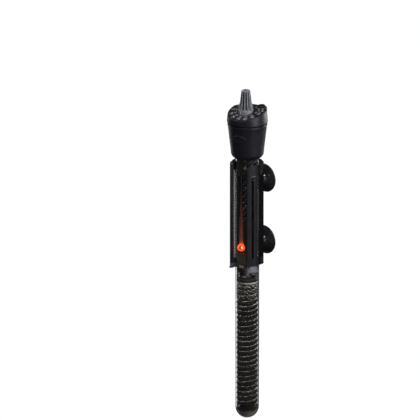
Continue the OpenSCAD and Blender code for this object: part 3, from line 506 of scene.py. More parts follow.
def lathe(outline, steps=96, loop=False, centre=(0, 0), to_model=on_heater):
    """Turns (radius, height) points about an upright axis. loop closes the outline on itself."""
    x, y = centre
    turns = [2 * math.pi * i / steps for i in range(steps)]
    return skin([[to_model(x, y, height)] if radius < 1e-6 else
                 [to_model(x + radius * math.cos(a), y + radius * math.sin(a), height) for a in turns]
                 for radius, height in outline], loop)


def softened_copy(node, name, material, bevel_mm, segments=2, sharp=35):
    """A merged copy of a CAD node with its edges rounded over, which stands for the node."""
    bm = bmesh.new()
    bm.from_mesh(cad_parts[node].data)
    bmesh.ops.remove_doubles(bm, verts=bm.verts, dist=0.004 * MM)
    bmesh.ops.dissolve_limit(bm, angle_limit=math.radians(0.6), verts=bm.verts, edges=bm.edges)
    piece = new_piece(name, mesh_of(bm, name), material, [node], sharp)
    edge = piece.modifiers.new("edge_radius", "BEVEL")
    edge.width, edge.segments = bevel_mm * MM, segments
    edge.limit_method, edge.angle_limit = "ANGLE", math.radians(sharp)
    edge.harden_normals = True


# ---- Geometry trees ----


def new_tree(name, sizes, takes_mesh=False):
    """A geometry tree with a named input for each size and for the material, and those inputs."""
    tree = bpy.data.node_groups.new(name, "GeometryNodeTree")
    if takes_mesh:
        tree.interface.new_socket("Geometry", in_out="INPUT", socket_type="NodeSocketGeometry")
    tree.interface.new_socket("Geometry", in_out="OUTPUT", socket_type="NodeSocketGeometry")
    kinds = {int: "NodeSocketInt", float: "NodeSocketFloat"}
    for label, kind in sizes.items():
        tree.interface.new_socket(label, in_out="INPUT", socket_type=kinds[kind])
    tree.interface.new_socket("Material", in_out="INPUT", socket_type="NodeSocketMaterial")
    return tree, tree.nodes.new("NodeGroupInput").outputs


def end_tree(tree, geometry, material):
    """Ends a tree: instances made real, material set."""
    real = add(tree, "GeometryNodeRealizeInstances", [geometry])
    done = add(tree, "GeometryNodeSetMaterial", {"Geometry": real, "Material": material})
    fill(tree.nodes.new("NodeGroupOutput"), {"Geometry": done})
    return tree


def grown(name, tree, material, values, stands_for=(), sharp=None, line=()):
    """Runs a geometry tree once with these values and keeps the plain mesh as a piece.
    line is a path in the heater's frame in millimetres, which a tree that takes a mesh follows."""
    path = bpy.data.meshes.new(name)
    path.from_pydata([Vector(p) * MM for p in line], [(i, i + 1) for i in range(len(line) - 1)], [])
    holder = new_object(name + "_maker", path)
    maker = holder.modifiers.new("maker", "NODES")
    maker.node_group = tree
    given = {**values, "Material": material}
    for item in tree.interface.items_tree:
        if item.in_out == "INPUT" and item.name in given:
            maker[item.identifier] = given[item.name]
    bm = bmesh.new()
    bm.from_mesh(evaluated(holder))
    bmesh.ops.transform(bm, matrix=Matrix.Translation(ORIGIN), verts=bm.verts)
    bmesh.ops.recalc_face_normals(bm, faces=bm.faces)
    return new_piece(name, mesh_of(bm, name), material, stands_for, sharp)


def coil_tree():
    """A wire along the line of edges that it is given, or wound round it with a coil radius above 0."""
    tree, given = new_tree("wire_on_line", {
        "Points": int, "Coil Radius": float, "Points in a Turn": float, "Wire Radius": float,
        "Wire Sides": int,
    }, takes_mesh=True)
    line = add(tree, "GeometryNodeMeshToCurve", {"Mesh": given["Geometry"]})
    even = add(tree, "GeometryNodeResampleCurve", {"Curve": line, "Count": given["Points"]})
    out = add(tree, "GeometryNodeInputNormal")
    side = add(tree, VECTOR_MATH, [add(tree, "GeometryNodeInputTangent"), out], operation="CROSS_PRODUCT")
    index = add(tree, "GeometryNodeInputIndex")
    turn = add(tree, MATH, [index, given["Points in a Turn"]], operation="DIVIDE")
    turn = add(tree, MATH, [turn, 2 * math.pi], operation="MULTIPLY")
    parts = []
    for way, kind in ((out, "COSINE"), (side, "SINE")):
        wave = add(tree, MATH, [turn], operation=kind)
        reach = add(tree, MATH, [wave, given["Coil Radius"]], operation="MULTIPLY")
        parts.append(add(tree, VECTOR_MATH, {0: way, "Scale": reach}, operation="SCALE"))
    shift = add(tree, VECTOR_MATH, parts, operation="ADD")
    coiled = add(tree, "GeometryNodeSetPosition", {"Geometry": even, "Offset": shift})
    section = add(tree, "GeometryNodeCurvePrimitiveCircle", {
        "Resolution": given["Wire Sides"], "Radius": given["Wire Radius"],
    })
    wire = add(tree, "GeometryNodeCurveToMesh", {
        "Curve": coiled, "Profile Curve": section, "Fill Caps": True,
    })
    return end_tree(tree, wire, given["Material"])


def mesh_sleeve_tree():
    """Strands that cross round the tube's axis, the same number leaning each way."""
    tree, given = new_tree("crossing_strands", {
        "Strands": int, "Loops": float, "Radius": float, "Rise": float, "Low Height": float,
        "Wire Radius": float, "Step": float,
    })
    section = add(tree, "GeometryNodeCurvePrimitiveCircle", {"Resolution": 6, "Radius": given["Wire Radius"]})
    row = add(tree, "GeometryNodeMeshLine", {
        "Count": given["Strands"], "Start Location": add(tree, JOIN_XYZ, {"Z": given["Low Height"]}),
        "Offset": (0.0, 0.0, 0.0),
    })
    turn = add(tree, MATH, [add(tree, "GeometryNodeInputIndex"), given["Step"]], operation="MULTIPLY")
    both = tree.nodes.new("GeometryNodeJoinGeometry")
    for leans_left in (True, False):
        line = add(tree, "GeometryNodeCurveSpiral", {
            "Resolution": 40, "Rotations": given["Loops"], "Start Radius": given["Radius"],
            "End Radius": given["Radius"], "Height": given["Rise"], "Reverse": leans_left,
        })
        strand = add(tree, "GeometryNodeCurveToMesh", {
            "Curve": line, "Profile Curve": section, "Fill Caps": True,
        })
        fill(both, {"Geometry": add(tree, "GeometryNodeInstanceOnPoints", {
            "Points": row, "Instance": strand, "Rotation": add(tree, JOIN_XYZ, {"Z": turn}),
        })})
    return end_tree(tree, both.outputs["Geometry"], given["Material"])


def rib_row_tree():
    """A row of short round ribs, one above the other, that all point the same way."""
    tree, given = new_tree("rib_row", {
        "Count": int, "Spacing": float, "X": float, "Y": float, "Low Height": float, "Heading": float,
        "Rib Radius": float, "Rib Length": float,
    })
    lowest = add(tree, JOIN_XYZ, [given["X"], given["Y"], given["Low Height"]])
    row = add(tree, "GeometryNodeMeshLine", {
        "Count": given["Count"], "Start Location": lowest,
        "Offset": add(tree, JOIN_XYZ, {"Z": given["Spacing"]}),
    })
    rib = add(tree, "GeometryNodeMeshCylinder", {
        "Vertices": 12, "Radius": given["Rib Radius"], "Depth": given["Rib Length"],
    })
    turn = add(tree, JOIN_XYZ, {"X": math.pi / 2, "Z": given["Heading"]})
    ribs = add(tree, "GeometryNodeInstanceOnPoints", {"Points": row, "Instance": rib, "Rotation": turn})
    return end_tree(tree, ribs, given["Material"])


def tick_tree():
    """Short marks round the dial, laid on the face that falls to the front from its crease."""
    tree, given = new_tree("dial_ticks", {
        "Count": int, "First Angle": float, "Angle Step": float, "Distance": float, "Length": float,
        "Width": float, "Height": float, "Face Height": float, "Crease": float, "Fall": float,
    })
    row = add(tree, "GeometryNodeMeshLine", {"Count": given["Count"], "Offset": (0.0, 0.0, 0.0)})
    angle = add(tree, MATH, [add(tree, "GeometryNodeInputIndex"), given["Angle Step"], given["First Angle"]],
                operation="MULTIPLY_ADD")
    ahead = add(tree, MATH, [given["Distance"], -1.0], operation="MULTIPLY")
    x, y = (add(tree, MATH, [add(tree, MATH, [angle], operation=wave), reach], operation="MULTIPLY")
            for wave, reach in (("SINE", given["Distance"]), ("COSINE", ahead)))
    placed = add(tree, "GeometryNodeSetPosition", {"Geometry": row, "Position": add(tree, JOIN_XYZ, [x, y])})
    size = add(tree, JOIN_XYZ, [given["Width"], given["Length"], given["Height"]])
    marks = add(tree, "GeometryNodeInstanceOnPoints", {
        "Points": placed, "Instance": add(tree, "GeometryNodeMeshCube", {"Size": size, "Vertices Y": 5}),
        "Rotation": add(tree, JOIN_XYZ, {"Z": angle}),
    })
    real = add(tree, "GeometryNodeRealizeInstances", [marks])
    behind = add(tree, SPLIT_XYZ, [add(tree, "GeometryNodeInputPosition")], "Y")
    ahead = add(tree, MATH, [given["Crease"], behind], operation="SUBTRACT")
    ahead = add(tree, MATH, [ahead, 0.0], operation="MAXIMUM")
    fall = add(tree, MATH, [given["Fall"], -1.0], operation="MULTIPLY")
    drop = add(tree, MATH, [ahead, fall, given["Face Height"]], operation="MULTIPLY_ADD")
    shift = add(tree, JOIN_XYZ, {"Z": drop})
    laid = add(tree, "GeometryNodeSetPosition", {"Geometry": real, "Offset": shift})
    return end_tree(tree, laid, given["Material"])


wire_on_line, ribs = coil_tree(), rib_row_tree()

# ---- Glass ----

ROUND_ANGLES = [4.5 * i for i in range(21)]
rim = softened([(TUBE_R, TUBE_TOP - 2, 0), (TUBE_R, TUBE_TOP, RIM_FILLET), (BORE_R, TUBE_TOP, RIM_FILLET),
                (BORE_R, TUBE_TOP - 2, 0)], closed=False)
tube_wall = bowl(TUBE_R, TUBE_R, ROUND_ANGLES) + [(TUBE_R, z) for z in range(20, 300, 20)] + rim
tube_wall += [(BORE_R, z) for z in range(280, 10, -20)] + bowl(BORE_R, TUBE_R, reversed(ROUND_ANGLES))
glass = new_piece("glass_envelope", lathe(tube_wall, 128), tube_glass, ["glass_tube"])
# The glass throws no shadow, so the lights reach what it holds
glass.visible_shadow = False

felt = [(0, 1.25)] + bowl(11.2, TUBE_R, range(6, 71, 4))
felt += softened([(10.6, 8.0, 0), (10.4, 8.7, 0.4), (3.2, 8.7, 0.3), (3.2, 7.1, 0), (0, 7.1, 0)],
                 closed=False)
new_piece("end_cushion_felt", lathe(felt, 72), wool, ["end_cushion"])

# ---- Head ----

shell = bowl(FOOT_ROUND, HEAD_Z + FOOT_ROUND, range(19, 91, 6), FOOT_R - FOOT_ROUND) + softened([
    (FOOT_R, HEAD_Z + FOOT_ROUND + 1, 0), (SEAM_R - 0.4, SEAM_Z - LIP_H, 0.6), (SEAM_R, SEAM_Z - 2.3, 0.5),
    (SEAM_R, SEAM_Z - 0.1, 0.1), (SEAM_R - 0.1, SEAM_Z, 0.1), (SEAM_R - 2.6, SEAM_Z, 0.3),
    (14.4, TUBE_TOP, 0.6), (TUBE_R + 0.05, TUBE_TOP, 0.3), (TUBE_R + 0.05, 297, 0), (TUBE_R + 1.6, 297, 0),
    (TUBE_R + 1.6, 294, 0), (TUBE_R + 0.05, 294, 0), (TUBE_R + 0.05, HEAD_Z + 0.9, 0.3),
    (12.7, HEAD_Z + 0.4, 0),
], closed=False)
new_piece("head_lower_shell", lathe(shell, 144, True), head_abs, ["head_body"], 50)
softened_copy("head_cap", "head_upper_shell", head_abs, 0.3, 3)
softened_copy("head_seal", "head_seal_ring", nitrile, 0.2)


def oval_badge(angle, height, half_width, half_height, rise):
    """A bare raised oval on the side of the head: a low rim round a shallow dished middle."""
    flare = (SEAM_R - 0.4 - FOOT_R) / (SEAM_Z - LIP_H - HEAD_Z - FOOT_ROUND)
    profile = [(1.0, -0.3), (1.0, 0.0), (0.97, 0.75), (0.92, 1.0), (0.87, 0.8), (0.83, 0.35), (0.6, 0.28),
               (0.3, 0.25), (0.0, 0.25)]
    rings = []
    for share, lift in profile:
        ring = []
        for k in range(64 if share else 1):
            a = 2 * math.pi * k / 64
            z = height + half_height * share * math.sin(a)
            radius = FOOT_R + (z - HEAD_Z - FOOT_ROUND) * flare + rise * lift
            x, y = round_front(radius, angle + math.degrees(half_width * share * math.cos(a) / radius))
            ring.append(on_heater(x, y, z))
        rings.append(ring)
    return skin(rings)


oval = oval_badge(angle=14.6, height=312.2, half_width=7.4, half_height=4.1, rise=0.45)
new_piece("head_oval_place", oval, head_abs, sharp=60)
gland = softened([
    (3.0, 328.3, 0.2), (GLAND_R, 328.3, 0.3), (GLAND_R, CAP_TOP_Z, 0), (GLAND_R + 0.4, CAP_TOP_Z + 0.02, 0.2),
    (GLAND_R + 0.4, CAP_TOP_Z + 0.8, 0.3), (GLAND_R - 0.3, CAP_TOP_Z + 0.8, 0.2), (3.6, GLAND_TOP, 0.35),
    (3.0, GLAND_TOP, 0.2),
])
new_piece("cord_gland_moulding", lathe(gland, 64, True, (GLAND_X, GLAND_Y)), nitrile, ["cord_gland"], 40)


def dial_marks(marks):
    """Printed marks: each is (text, letter size, distance from the axis, angle), its top to the middle."""
    joined = bmesh.new()
    for text, size, distance, angle in marks:
        curve = bpy.data.curves.new("mark", "FONT")
        curve.body, curve.size, curve.extrude, curve.offset = text, size, 0.06, size * 0.012
        curve.align_x, curve.align_y, curve.resolution_u = "CENTER", "CENTER", 3
        flat = evaluated(new_object("mark", curve))
        turn = Matrix.Rotation(math.radians(angle), 4, "Z")
        centre = Vector((*round_front(distance, angle), 0))
        for vertex in flat.vertices:
            p = turn @ vertex.co + centre
            # The face is flat behind its crease and falls to the front before it
            face_z = CAP_TOP_Z - max(0.0, FACE_CREASE - p.y) * math.tan(FACE_TILT)
            vertex.co = on_heater(p.x, p.y, face_z + p.z + 0.04)
        joined.from_mesh(flat)
    bmesh.ops.remove_doubles(joined, verts=joined.verts, dist=0.001 * MM)
    return mesh_of(joined, "dial_marks")


marks = []
for i in range(DIAL_NUMBERS):
    angle, fahrenheit = DIAL_MIDDLE + DIAL_STEP * (i - 5), 68 + 2 * i
    marks += [(str(fahrenheit), 4.0, 16.3, angle), (str(round((fahrenheit - 32) / 1.8)), 3.0, 12.4, angle)]
marks += [("°F", 3.4, 16.3, DIAL_MIDDLE + DIAL_STEP * 6), ("°C", 2.8, 12.4, DIAL_MIDDLE + DIAL_STEP * 6)]
new_piece("dial_numerals", dial_marks(marks), ink, sharp=30)
grown("dial_ticks", tick_tree(), ink, {
    "Count": DIAL_NUMBERS, "First Angle": math.radians(DIAL_MIDDLE - 5 * DIAL_STEP),
    "Angle Step": math.radians(DIAL_STEP), "Distance": 18.9 * MM, "Length": 0.9 * MM, "Width": 0.45 * MM,
    "Height": 0.16 * MM, "Face Height": CAP_TOP_Z * MM, "Crease": FACE_CREASE * MM,
    "Fall": math.tan(FACE_TILT),
}, sharp=30)

# ---- Knob ----


def knob_mesh(around=20, levels=44):
    """The knob: a plain collar, a bell that narrows to the grip, a taper, and round flutes to the crown."""
    fluted_top = KNOB_H - CROWN_H

    def outline(h):
        if h <= COLLAR_H + FLARE_H:
            rise = max(0.0, h - COLLAR_H) / FLARE_H
            return GRIP_R + (COLLAR_R - 0.1 - GRIP_R) * (1 - rise * rise)
        return GRIP_R + (KNOB_TOP_R - GRIP_R) * (h - COLLAR_H - FLARE_H) / (fluted_top - COLLAR_H - FLARE_H)

    def cut(h, phi):
        """Distance from the axis to the flute's wall, at an angle from the flute's middle."""
        share = min(1.0, max(0.0, (h - COLLAR_H - 0.1) / (KNOB_H - COLLAR_H - 2.4)))
        away = (COLLAR_R - FLUTE_DEPTH + FLUTE_R) * (1 - share) + (KNOB_TOP_R - 0.25 + FLUTE_TOP_R) * share
        radius = FLUTE_R * (1 - share) + FLUTE_TOP_R * share
        inside = radius ** 2 - (away * math.sin(phi)) ** 2
        return away * math.cos(phi) - math.sqrt(inside) if inside > 0 else None

    def ring(h, radius=None):
        """A plain ring with a radius, or a fluted one without, whose ribs have softened edges."""
        points, soft = [], 0.05
        for a in (2 * math.pi * i / (FLUTES * around) for i in range(FLUTES * around)):
            r = radius
            if r is None:
                r = plain = outline(h)
                flute = cut(h, (a + math.pi / 2) % (2 * math.pi / FLUTES) - math.pi / FLUTES)
                if flute is not None:
                    r = min(plain, (plain + flute - math.hypot(plain - flute, soft) + soft * 0.35) / 2)
            points.append(on_heater(r * math.cos(a), r * math.sin(a) - KNOB_OFFSET, KNOB_Z + h))
        return points

    collar = [(COLLAR_R - 1, 0, 0), (COLLAR_R, 0, 0.5), (COLLAR_R, COLLAR_H, 0.35),
              (COLLAR_R - 0.9, COLLAR_H + 0.02, 0)]
    crown = [(KNOB_TOP_R - 0.25, fluted_top + 0.15, 0), (3.1, KNOB_H, 0.3), (2.7, KNOB_H, 0.15),
             (2.5, KNOB_H - 0.25, 0.15), (1.0, KNOB_H - 0.25, 0)]
    rings = [[on_heater(0, -KNOB_OFFSET, KNOB_Z + SPINDLE_GRIP)], ring(SPINDLE_GRIP, SPINDLE_R),
             ring(0.2, SPINDLE_R), ring(0, SPINDLE_R + 0.2)]
    rings += [ring(h, r) for r, h in softened(collar, closed=False)]
    rings += [ring(COLLAR_H + 0.1 + (fluted_top - COLLAR_H - 0.1) * (i / levels) ** 0.9)
              for i in range(levels + 1)]
    rings += [ring(h, r) for r, h in softened(crown, closed=False)]
    return skin(rings + [[on_heater(0, -KNOB_OFFSET, KNOB_Z + KNOB_H - 0.25)]])


def pointer_mesh():
    """A printed wedge on the front of the knob's collar, wider towards the top."""
    rings = []
    for height, half in ((0.9, 1.5), (COLLAR_H - 0.5, 4.5)):
        corners = ((-half, -0.2), (half, -0.2), (half, 0.12), (-half, 0.12))
        points = [round_front(COLLAR_R + out, a) for a, out in corners]
        rings.append([on_heater(x, y - KNOB_OFFSET, KNOB_Z + height) for x, y in points])
    return skin(rings)


new_piece("temperature_knob", knob_mesh(), knob_abs, ["adjustment_knob"], 45)
new_piece("knob_pointer", pointer_mesh(), pointer_ink, sharp=30)

# ---- Bracket and suction cups ----

softened_copy("bracket", "bracket_moulding", bracket_nylon, 0.35)
for side, word in SIDES:
    # Teeth on the jaw's rear edge
    x, y = round_front((CLIP_R + JAW_R) / 2 + 0.5, JAW_END + 3.4)
    grown("jaw_teeth_" + word, ribs, tooth_nylon, {
        "Count": TEETH, "Spacing": TOOTH_STEP * MM, "X": side * x * MM, "Y": y * MM,
        "Low Height": (BRACKET_LOW + 9) * MM, "Heading": 0.0, "Rib Radius": 0.75 * MM, "Rib Length": 3.6 * MM,
    }, sharp=35)
    # The ribbed grip along the jaw's front edge: pale ribs as a painted highlight, on a thin strip drawn
    # darker as painted shade between them
    inner, outer = Vector(round_front(12.95, 50.5)), Vector(round_front(14.23, 46.6))
    run = outer - inner
    face = Vector((run.y, -run.x)).normalized()
    middle = (inner + outer) / 2 + face * 0.1
    grown("jaw_grip_ribs_" + word, ribs, grip_rubber_painted_highlight, {
        "Count": int((GRIP_HIGH - GRIP_LOW) / GRIP_RIB), "Spacing": GRIP_RIB * MM, "X": side * middle.x * MM,
        "Y": middle.y * MM, "Low Height": (GRIP_LOW + 1) * MM, "Heading": side * math.atan2(-run.x, run.y),
        "Rib Radius": 0.46 * MM, "Rib Length": (run.length - 0.2) * MM,
    }, sharp=35)
    strip = [inner - face * 0.2, outer - face * 0.2, outer + face * 0.18, inner + face * 0.18]
    new_piece("jaw_grip_strip_" + word, skin([[on_heater(side * p.x, p.y, z) for p in strip]
                                              for z in (GRIP_LOW, GRIP_HIGH)]), grip_painted_shade, sharp=30)
# A moulded bead marks the ledge across each jaw's head, drawn light as a painted highlight
ledge = [round_front(JAW_R + 0.2, a) for a in range(45, 79, 3)]
for side, word in SIDES:
    grown("jaw_ledge_bead_" + word, wire_on_line, painted_highlight_nylon, {
        "Points": 12, "Coil Radius": 0.0, "Points in a Turn": 10.0, "Wire Radius": 0.45 * MM, "Wire Sides": 8,
    }, sharp=60, line=[(side * x, y, LEDGE_Z - 0.6) for x, y in ledge])


def cup_mesh(z):
    """A suction cup: a thin flared skirt round a shallow hollow, on a waisted neck with a rolled end."""
    outline = [(0.0, 3.2)] + softened([
        (6.5, 2.6, 3), (11.6, 1.5, 4), (13.9, 0.0, 0.4), (15.5, 0.0, 0.35), (15.2, 0.9, 0.5), (11.2, 3.1, 4),
        (7.4, 4.7, 2.0), (6.0, 6.6, 1.2), (6.0, 9.6, 0.5), (5.3, 10.3, 0.4), (3.75, 10.3, 0.3),
        (2.6, 9.4, 0.3),
    ], steps=6) + [(2.55, 6.45), (3.75, 6.4), (2.25, 4.6), (0.0, 4.6)]
    # The cup's axis stands out from the tank wall
    return lathe(outline, to_model=lambda x, y, h: Vector((x, -h, z + y)) * MM)


for word, z in (("upper", CUP_Z), ("lower", -CUP_Z)):
    new_piece(f"{word}_cup_moulding", cup_mesh(z), cup_pvc, ["suction_cup_" + word], 45)

# ---- Heating element ----

BEND_R = 2 * COIL_R
BEND_ANGLE = BEND_R / WINDING_R


def on_winding(angle, z, radius=WINDING_R):
    """A point at an angle round the tube's axis, in the heater's frame."""
    return radius * math.cos(angle), radius * math.sin(angle), z


def winding_line():
    """The winding's middle line: a rise from the lower disc, a bend, the loops, a bend and a last rise."""
    bend, steps = [math.pi / 2 * k / 6 for k in range(7)], range(LOOPS * 48 + 1)
    first_z, last, last_z = CORE_Z + 2 * COIL_R, 2 * math.pi * LOOPS, LOOPS_Z + LOOP_PITCH * LOOPS
    return [
        on_winding(0, CORE_Z + 0.3),
        *[on_winding(BEND_ANGLE * (1 - math.cos(a)), first_z + BEND_R * math.sin(a)) for a in bend[:-1]],
        *[on_winding(BEND_ANGLE + 2 * math.pi * k / 48, LOOPS_Z + LOOP_PITCH * k / 48) for k in steps],
        *[on_winding(last + BEND_ANGLE * (1 + math.sin(a)), last_z + BEND_R * (1 - math.cos(a)))
          for a in bend[1:]],
        on_winding(last + 2 * BEND_ANGLE, CORE_TOP - 0.3),
    ]


def core_fin():
    """The ridge that parts the loops: it winds up the core half a loop below the wire."""
    rings, steps = [], 40
    profile = [(7.0, -1.4), (10.2, -1.0), (11.15, -0.5), (11.15, 0.5), (10.2, 1.0), (7.0, 1.4)]
    for k in range(3, LOOPS * steps - 1):
        angle, height = 2 * math.pi * k / steps, LOOPS_Z - LOOP_PITCH / 2 + LOOP_PITCH * k / steps
        rings.append([on_heater(*on_winding(angle, height + h, r)) for r, h in profile])
    return skin(rings)


grown("coiled_winding", wire_on_line, wire_metal, {
    "Points": int(LOOPS * 2 * math.pi * WINDING_R / FINE_TURN * FINE_POINTS),
    "Coil Radius": (COIL_R - COIL_WIRE_R) * MM, "Points in a Turn": float(FINE_POINTS),
    "Wire Radius": COIL_WIRE_R * MM, "Wire Sides": 6,
}, ["heating_wire"], line=winding_line())
new_piece("core_fin", core_fin(), core_steatite, sharp=40)
grown("retaining_mesh", mesh_sleeve_tree(), wire_metal, {
    "Strands": 14, "Loops": 0.36, "Radius": 10.95 * MM, "Rise": (LATTICE_HIGH - LATTICE_LOW) * MM,
    "Low Height": LATTICE_LOW * MM, "Wire Radius": 0.22 * MM, "Step": math.pi / 7,
})
# The winding's tails, coiled loosely round the front between the two terminals
for word, start, end, low, high in (("right", 10, 100, 158.2, 161.8), ("left", -100, -5, 161.2, 158.0)):
    tail = [(*round_front(9.4, start + (end - start) * k / 30),
             low + (high - low) * k / 30 + 1.1 * math.sin(k * 0.7)) for k in range(31)]
    grown("winding_tail_" + word, wire_on_line, wire_metal, {
        "Points": 120, "Coil Radius": 0.8 * MM, "Points in a Turn": 9.0, "Wire Radius": 0.32 * MM,
        "Wire Sides": 6,
    }, line=tail)
# The band that holds the mesh, and the dark skirts at the core's ends
for name, material, corners in (
    ("mesh_band", tin, [(10.6, 150.9, 0.1), (11.2, 150.9, 0.35), (11.2, 152.4, 0.35), (10.6, 152.4, 0.1)]),
    ("core_end_skirt", core_steatite, [(SKIRT_R, 152.5, 0), (11.2, 152.5, 0.1), (11.2, CORE_TOP, 0),
                                       (SKIRT_R, CORE_TOP, 0)]),
    ("core_low_skirt", core_steatite, [(SKIRT_R, CORE_Z, 0), (11.1, CORE_Z, 0), (11.1, 13.6, 0.1),
                                       (SKIRT_R, 13.6, 0)]),
):
    new_piece(name, lathe(softened(corners), 96, True), material, sharp=40)

# ---- Thermostat ----

softened_copy("tube_stopper", "stopper_moulding", nitrile, 0.25, 3)
softened_copy("carrier_eyelets", "rolled_eyelets", oxide_tin, 0.22, 3)
# Bent wire ends, soldered down beside each eyelet: up to the right of it and down to the left
for word, x, z in (("left", 0.75, 218.9), ("right", 3.2, 222.6)):
    grown("solder_ends_" + word, ribs, tin, {
        "Count": EYELETS, "Spacing": EYELET_STEP * MM, "X": x * MM, "Y": -5.7 * MM, "Low Height": z * MM,
        "Heading": 0.0, "Rib Radius": 0.5 * MM, "Rib Length": 1.2 * MM,
    }, sharp=35)


def o_ring(ring_r, section_r, height, y=0.0):
    """A moulded rubber ring with the thin flash line of its mould."""
    turns = [2 * math.pi * k / 24 for k in range(24)]
    section = [(ring_r + (section_r + (0.03 if k % 12 == 0 else -0.01)) * math.cos(a),
                height + section_r * math.sin(a)) for k, a in enumerate(turns)]
    return lathe(section, 96, True, (0, y))


def rolled_card():
    """The card round the thermostat: open to the front, and cut away to the right below the heat shield."""
    rings, steps = [], 64
    ends = ((CORE_TOP + 0.05, 135), (CARD_CUT - 0.1, 135), (CARD_CUT + 0.1, 45), (CARD_TOP, 45))
    for height, open_to in ends:
        angles = [open_to + (315 - open_to) * k / steps for k in range(steps + 1)]
        rings.append([on_heater(*round_front(r, a), height)
                      for r, turns in ((11.24, angles), (11.06, reversed(angles))) for a in turns])
    return skin(rings)


def rolled_rivet(angle, height):
    """A rolled rivet set in the side of a round inner piece, at an angle from the front."""
    out = Vector((*round_front(1, angle), 0))
    side = Vector((-out.y, out.x, 0))
    profile = softened([(0.4, -0.3, 0), (0.4, 0.1, 0.1), (0.9, 0.22, 0.1), (1.35, 0.05, 0.1),
                        (1.35, -0.3, 0)])

    def to_model(x, y, h):
        return on_heater(*(out * (INNER_PIECE_R + h) + side * x + Vector((0, 0, height + y))))

    return lathe(profile, 20, True, to_model=to_model)


new_piece("tube_ring_moulding", o_ring(13.3, 0.75, 295.5), nitrile, ["tube_o_ring"])
new_piece("spindle_ring_moulding", o_ring(3.66, 0.55, 327.2, -KNOB_OFFSET), nitrile, ["spindle_seal"])
new_piece("rolled_card", rolled_card(), black_card, ["insulating_card"], 30)
# One rivet in the guide block, in line with the eyelets, and two at the foot of the heat shield
for name, angle, height in (("guide_rivet", 32.2, 278.6), ("shield_rivet_left", 1.5, 170.0),
                            ("shield_rivet_right", 17.5, 170.0)):
    new_piece(name, rolled_rivet(angle, height), tin, sharp=50)
for side, word in SIDES:
    # The sleeve draws in and swells a little along the conductor, as braid does
    swell = [(0.88 + 0.02 * math.sin(z * 1.7 + side), z) for z in range(167, 306)]
    sleeve = [(0.5, 165.7), (0.78, 165.7), (0.87, 166.2), *swell, (0.87, 306.4), (0.75, LEAD_HIGH),
              (0.5, LEAD_HIGH)]
    centre = (side * LEAD_X, LEAD_Y)
    new_piece("lead_sleeve_" + word, lathe(sleeve, 20, True, centre), lead_braid, ["supply_leads"], 60)
    strand = softened([(0, LEAD_LOW, 0), (0.46, LEAD_LOW, 0.1), (0.46, LEAD_HIGH, 0.1), (0, LEAD_HIGH, 0)],
                      closed=False)
    new_piece("lead_conductor_" + word, lathe(strand, 16, False, centre), nickel, sharp=40)

# ---- Lamp ----

# The gas burns round the right-hand electrode. The plate of the other one stays dark.
gas = [(0.55, -1.1), (0.7, -0.8), (0.75, -0.2), (0.75, 0.4), (0.7, 0.9), (0.55, 1.2)]
gas = [(r, LAMP_Z + h) for r, h in gas]
new_piece("lamp_burning_gas", lathe(gas, 24, False, (LAMP_X + 0.8, LAMP_Y)), electrode_glow)
plate = softened([(0.55, -1.7, 0.1), (1.05, -1.7, 0.2), (1.05, 1.7, 0.2), (0.55, 1.7, 0.1)])
plate = [(r, LAMP_Z + h) for r, h in plate]
new_piece("lamp_dark_plate", lathe(plate, 20, True, (LAMP_X - 1.5, LAMP_Y - 0.4)), electrode_nickel, sharp=40)
stalk = softened([
    (0.75, SLEEVE_LOW + 1.6, 0), (2.0, SLEEVE_LOW + 0.7, 0.3), (1.95, SLEEVE_STEP - 1.5, 1),
    (1.45, SLEEVE_STEP + 1.5, 1), (1.15, SLEEVE_TOP, 3), (0.65, SLEEVE_END, 0.3), (0.5, SLEEVE_END, 0),
], closed=False) + [(0.5, SLEEVE_TOP), (0.6, SLEEVE_STEP), (0.7, SLEEVE_LOW + 3)]
new_piece("lamp_light_sleeve", lathe(stalk, 40, True, (LAMP_X, LAMP_Y)), sleeve_silicone, ["lamp_sleeve"], 60)

# ---- Floor, light and camera ----

FLOOR_R = 0.2
floor_mesh = bpy.data.meshes.new("floor")
floor_mesh.from_pydata([(ORIGIN.x + FLOOR_R * math.cos(a), ORIGIN.y + FLOOR_R * math.sin(a), glass_low.z)
                        for a in (2 * math.pi * k / 96 for k in range(96))], [], [list(range(96))])
floor = new_object("floor", floor_mesh)
# Matt white board, rolled: even, with the faintest tooth.
floor_mesh.materials.append(finish("board_matt_white", "#f1f1ef", "#f5f5f3", 60, (0.8, 0.9), 6, 0.02,
                                   Emission_Color="#ffffff", Emission_Strength=0.6))
# The board is seen but throws no light back, so the inside of the glass keeps its blacks
floor.visible_diffuse = floor.visible_glossy = floor.visible_transmission = False

# The surroundings are bright only where they are seen, straight or through the glass
scene.world = bpy.data.worlds.new("studio")
scene.world.use_nodes = True
sky = scene.world.node_tree
ray = sky.nodes.new("ShaderNodeLightPath").outputs
bounces = add(sky, MATH, [ray["Diffuse Depth"], ray["Glossy Depth"]], operation="ADD")
straight = add(sky, MATH, [bounces, 0.5], operation="LESS_THAN")
seen = add(sky, MATH, [ray["Is Camera Ray"], ray["Is Transmission Ray"]], operation="MAXIMUM")
seen = add(sky, MATH, [seen, straight], operation="MULTIPLY")
brightness = add(sky, RANGE, [seen, 0.0, 1.0, 0.055, 1.05])
fill(sky.nodes["Background"], {"Strength": brightness, "Color": "#fbfcff"})

aim = on_heater(0, 0, 190)


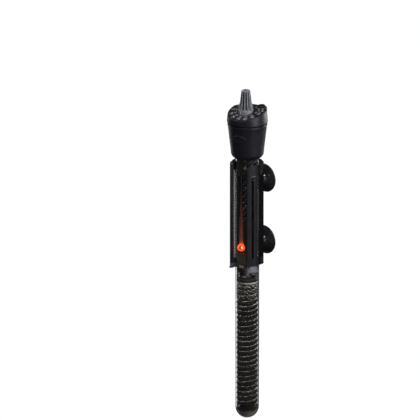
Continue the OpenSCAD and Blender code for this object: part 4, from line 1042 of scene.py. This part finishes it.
def softbox(name, azimuth, elevation, distance, width, height, power, through_glass=True):
    """A soft rectangular light, pointed at the middle of the heater and never seen itself.
    through_glass is False for one that would show through the tube."""
    data = bpy.data.lights.new(name, "AREA")
    data.shape, data.size, data.size_y, data.energy = "RECTANGLE", width, height, power
    light = new_object(name, data)
    a, e = math.radians(azimuth), math.radians(elevation)
    back = Vector((math.sin(a) * math.cos(e), -math.cos(a) * math.cos(e), math.sin(e)))
    light.location = aim + back * distance
    light.rotation_mode = "QUATERNION"
    light.rotation_quaternion = back.to_track_quat("Z", "Y")
    light.visible_camera, light.visible_transmission = False, through_glass


softbox("key_right", 90, 17, 1.2, 0.7, 1.0, 9)
softbox("rim_left", -100, 4, 1.2, 0.3, 1.5, 1.6)
softbox("fill_left", -78, 42, 1.2, 0.45, 0.4, 4)
softbox("fill_back", 172, 6, 1.3, 0.9, 0.7, 10, through_glass=False)
softbox("top_front", 40, 58, 1.3, 0.28, 0.22, 9)

VIEW_AZIMUTH, VIEW_ELEVATION = math.radians(43), math.radians(19)
PIXELS, PIXELS_PER_MM, AXIS_PIXEL, TIP_PIXEL = 420, 0.96, 247.3, 418.0
STAND_OFF = 12
right = Vector((math.cos(VIEW_AZIMUTH), math.sin(VIEW_AZIMUTH), 0))
up = Vector((-math.sin(VIEW_AZIMUTH) * math.sin(VIEW_ELEVATION),
             math.cos(VIEW_AZIMUTH) * math.sin(VIEW_ELEVATION), math.cos(VIEW_ELEVATION)))
back = right.cross(up)
across, rise = (PIXELS / 2 - AXIS_PIXEL) / PIXELS_PER_MM, (TIP_PIXEL - PIXELS / 2) / PIXELS_PER_MM
depth = rise / math.cos(VIEW_ELEVATION) * math.sin(VIEW_ELEVATION)
lens = bpy.data.cameras.new("camera")
lens.lens = lens.sensor_width * STAND_OFF / (PIXELS / PIXELS_PER_MM * MM)
camera = new_object("camera", lens)
camera.location = ORIGIN + (right * across + up * rise + back * depth) * MM + back * STAND_OFF
camera.rotation_mode = "QUATERNION"
camera.rotation_quaternion = back.to_track_quat("Z", "Y")
scene.camera = camera
scene.view_settings.view_transform = "Standard"
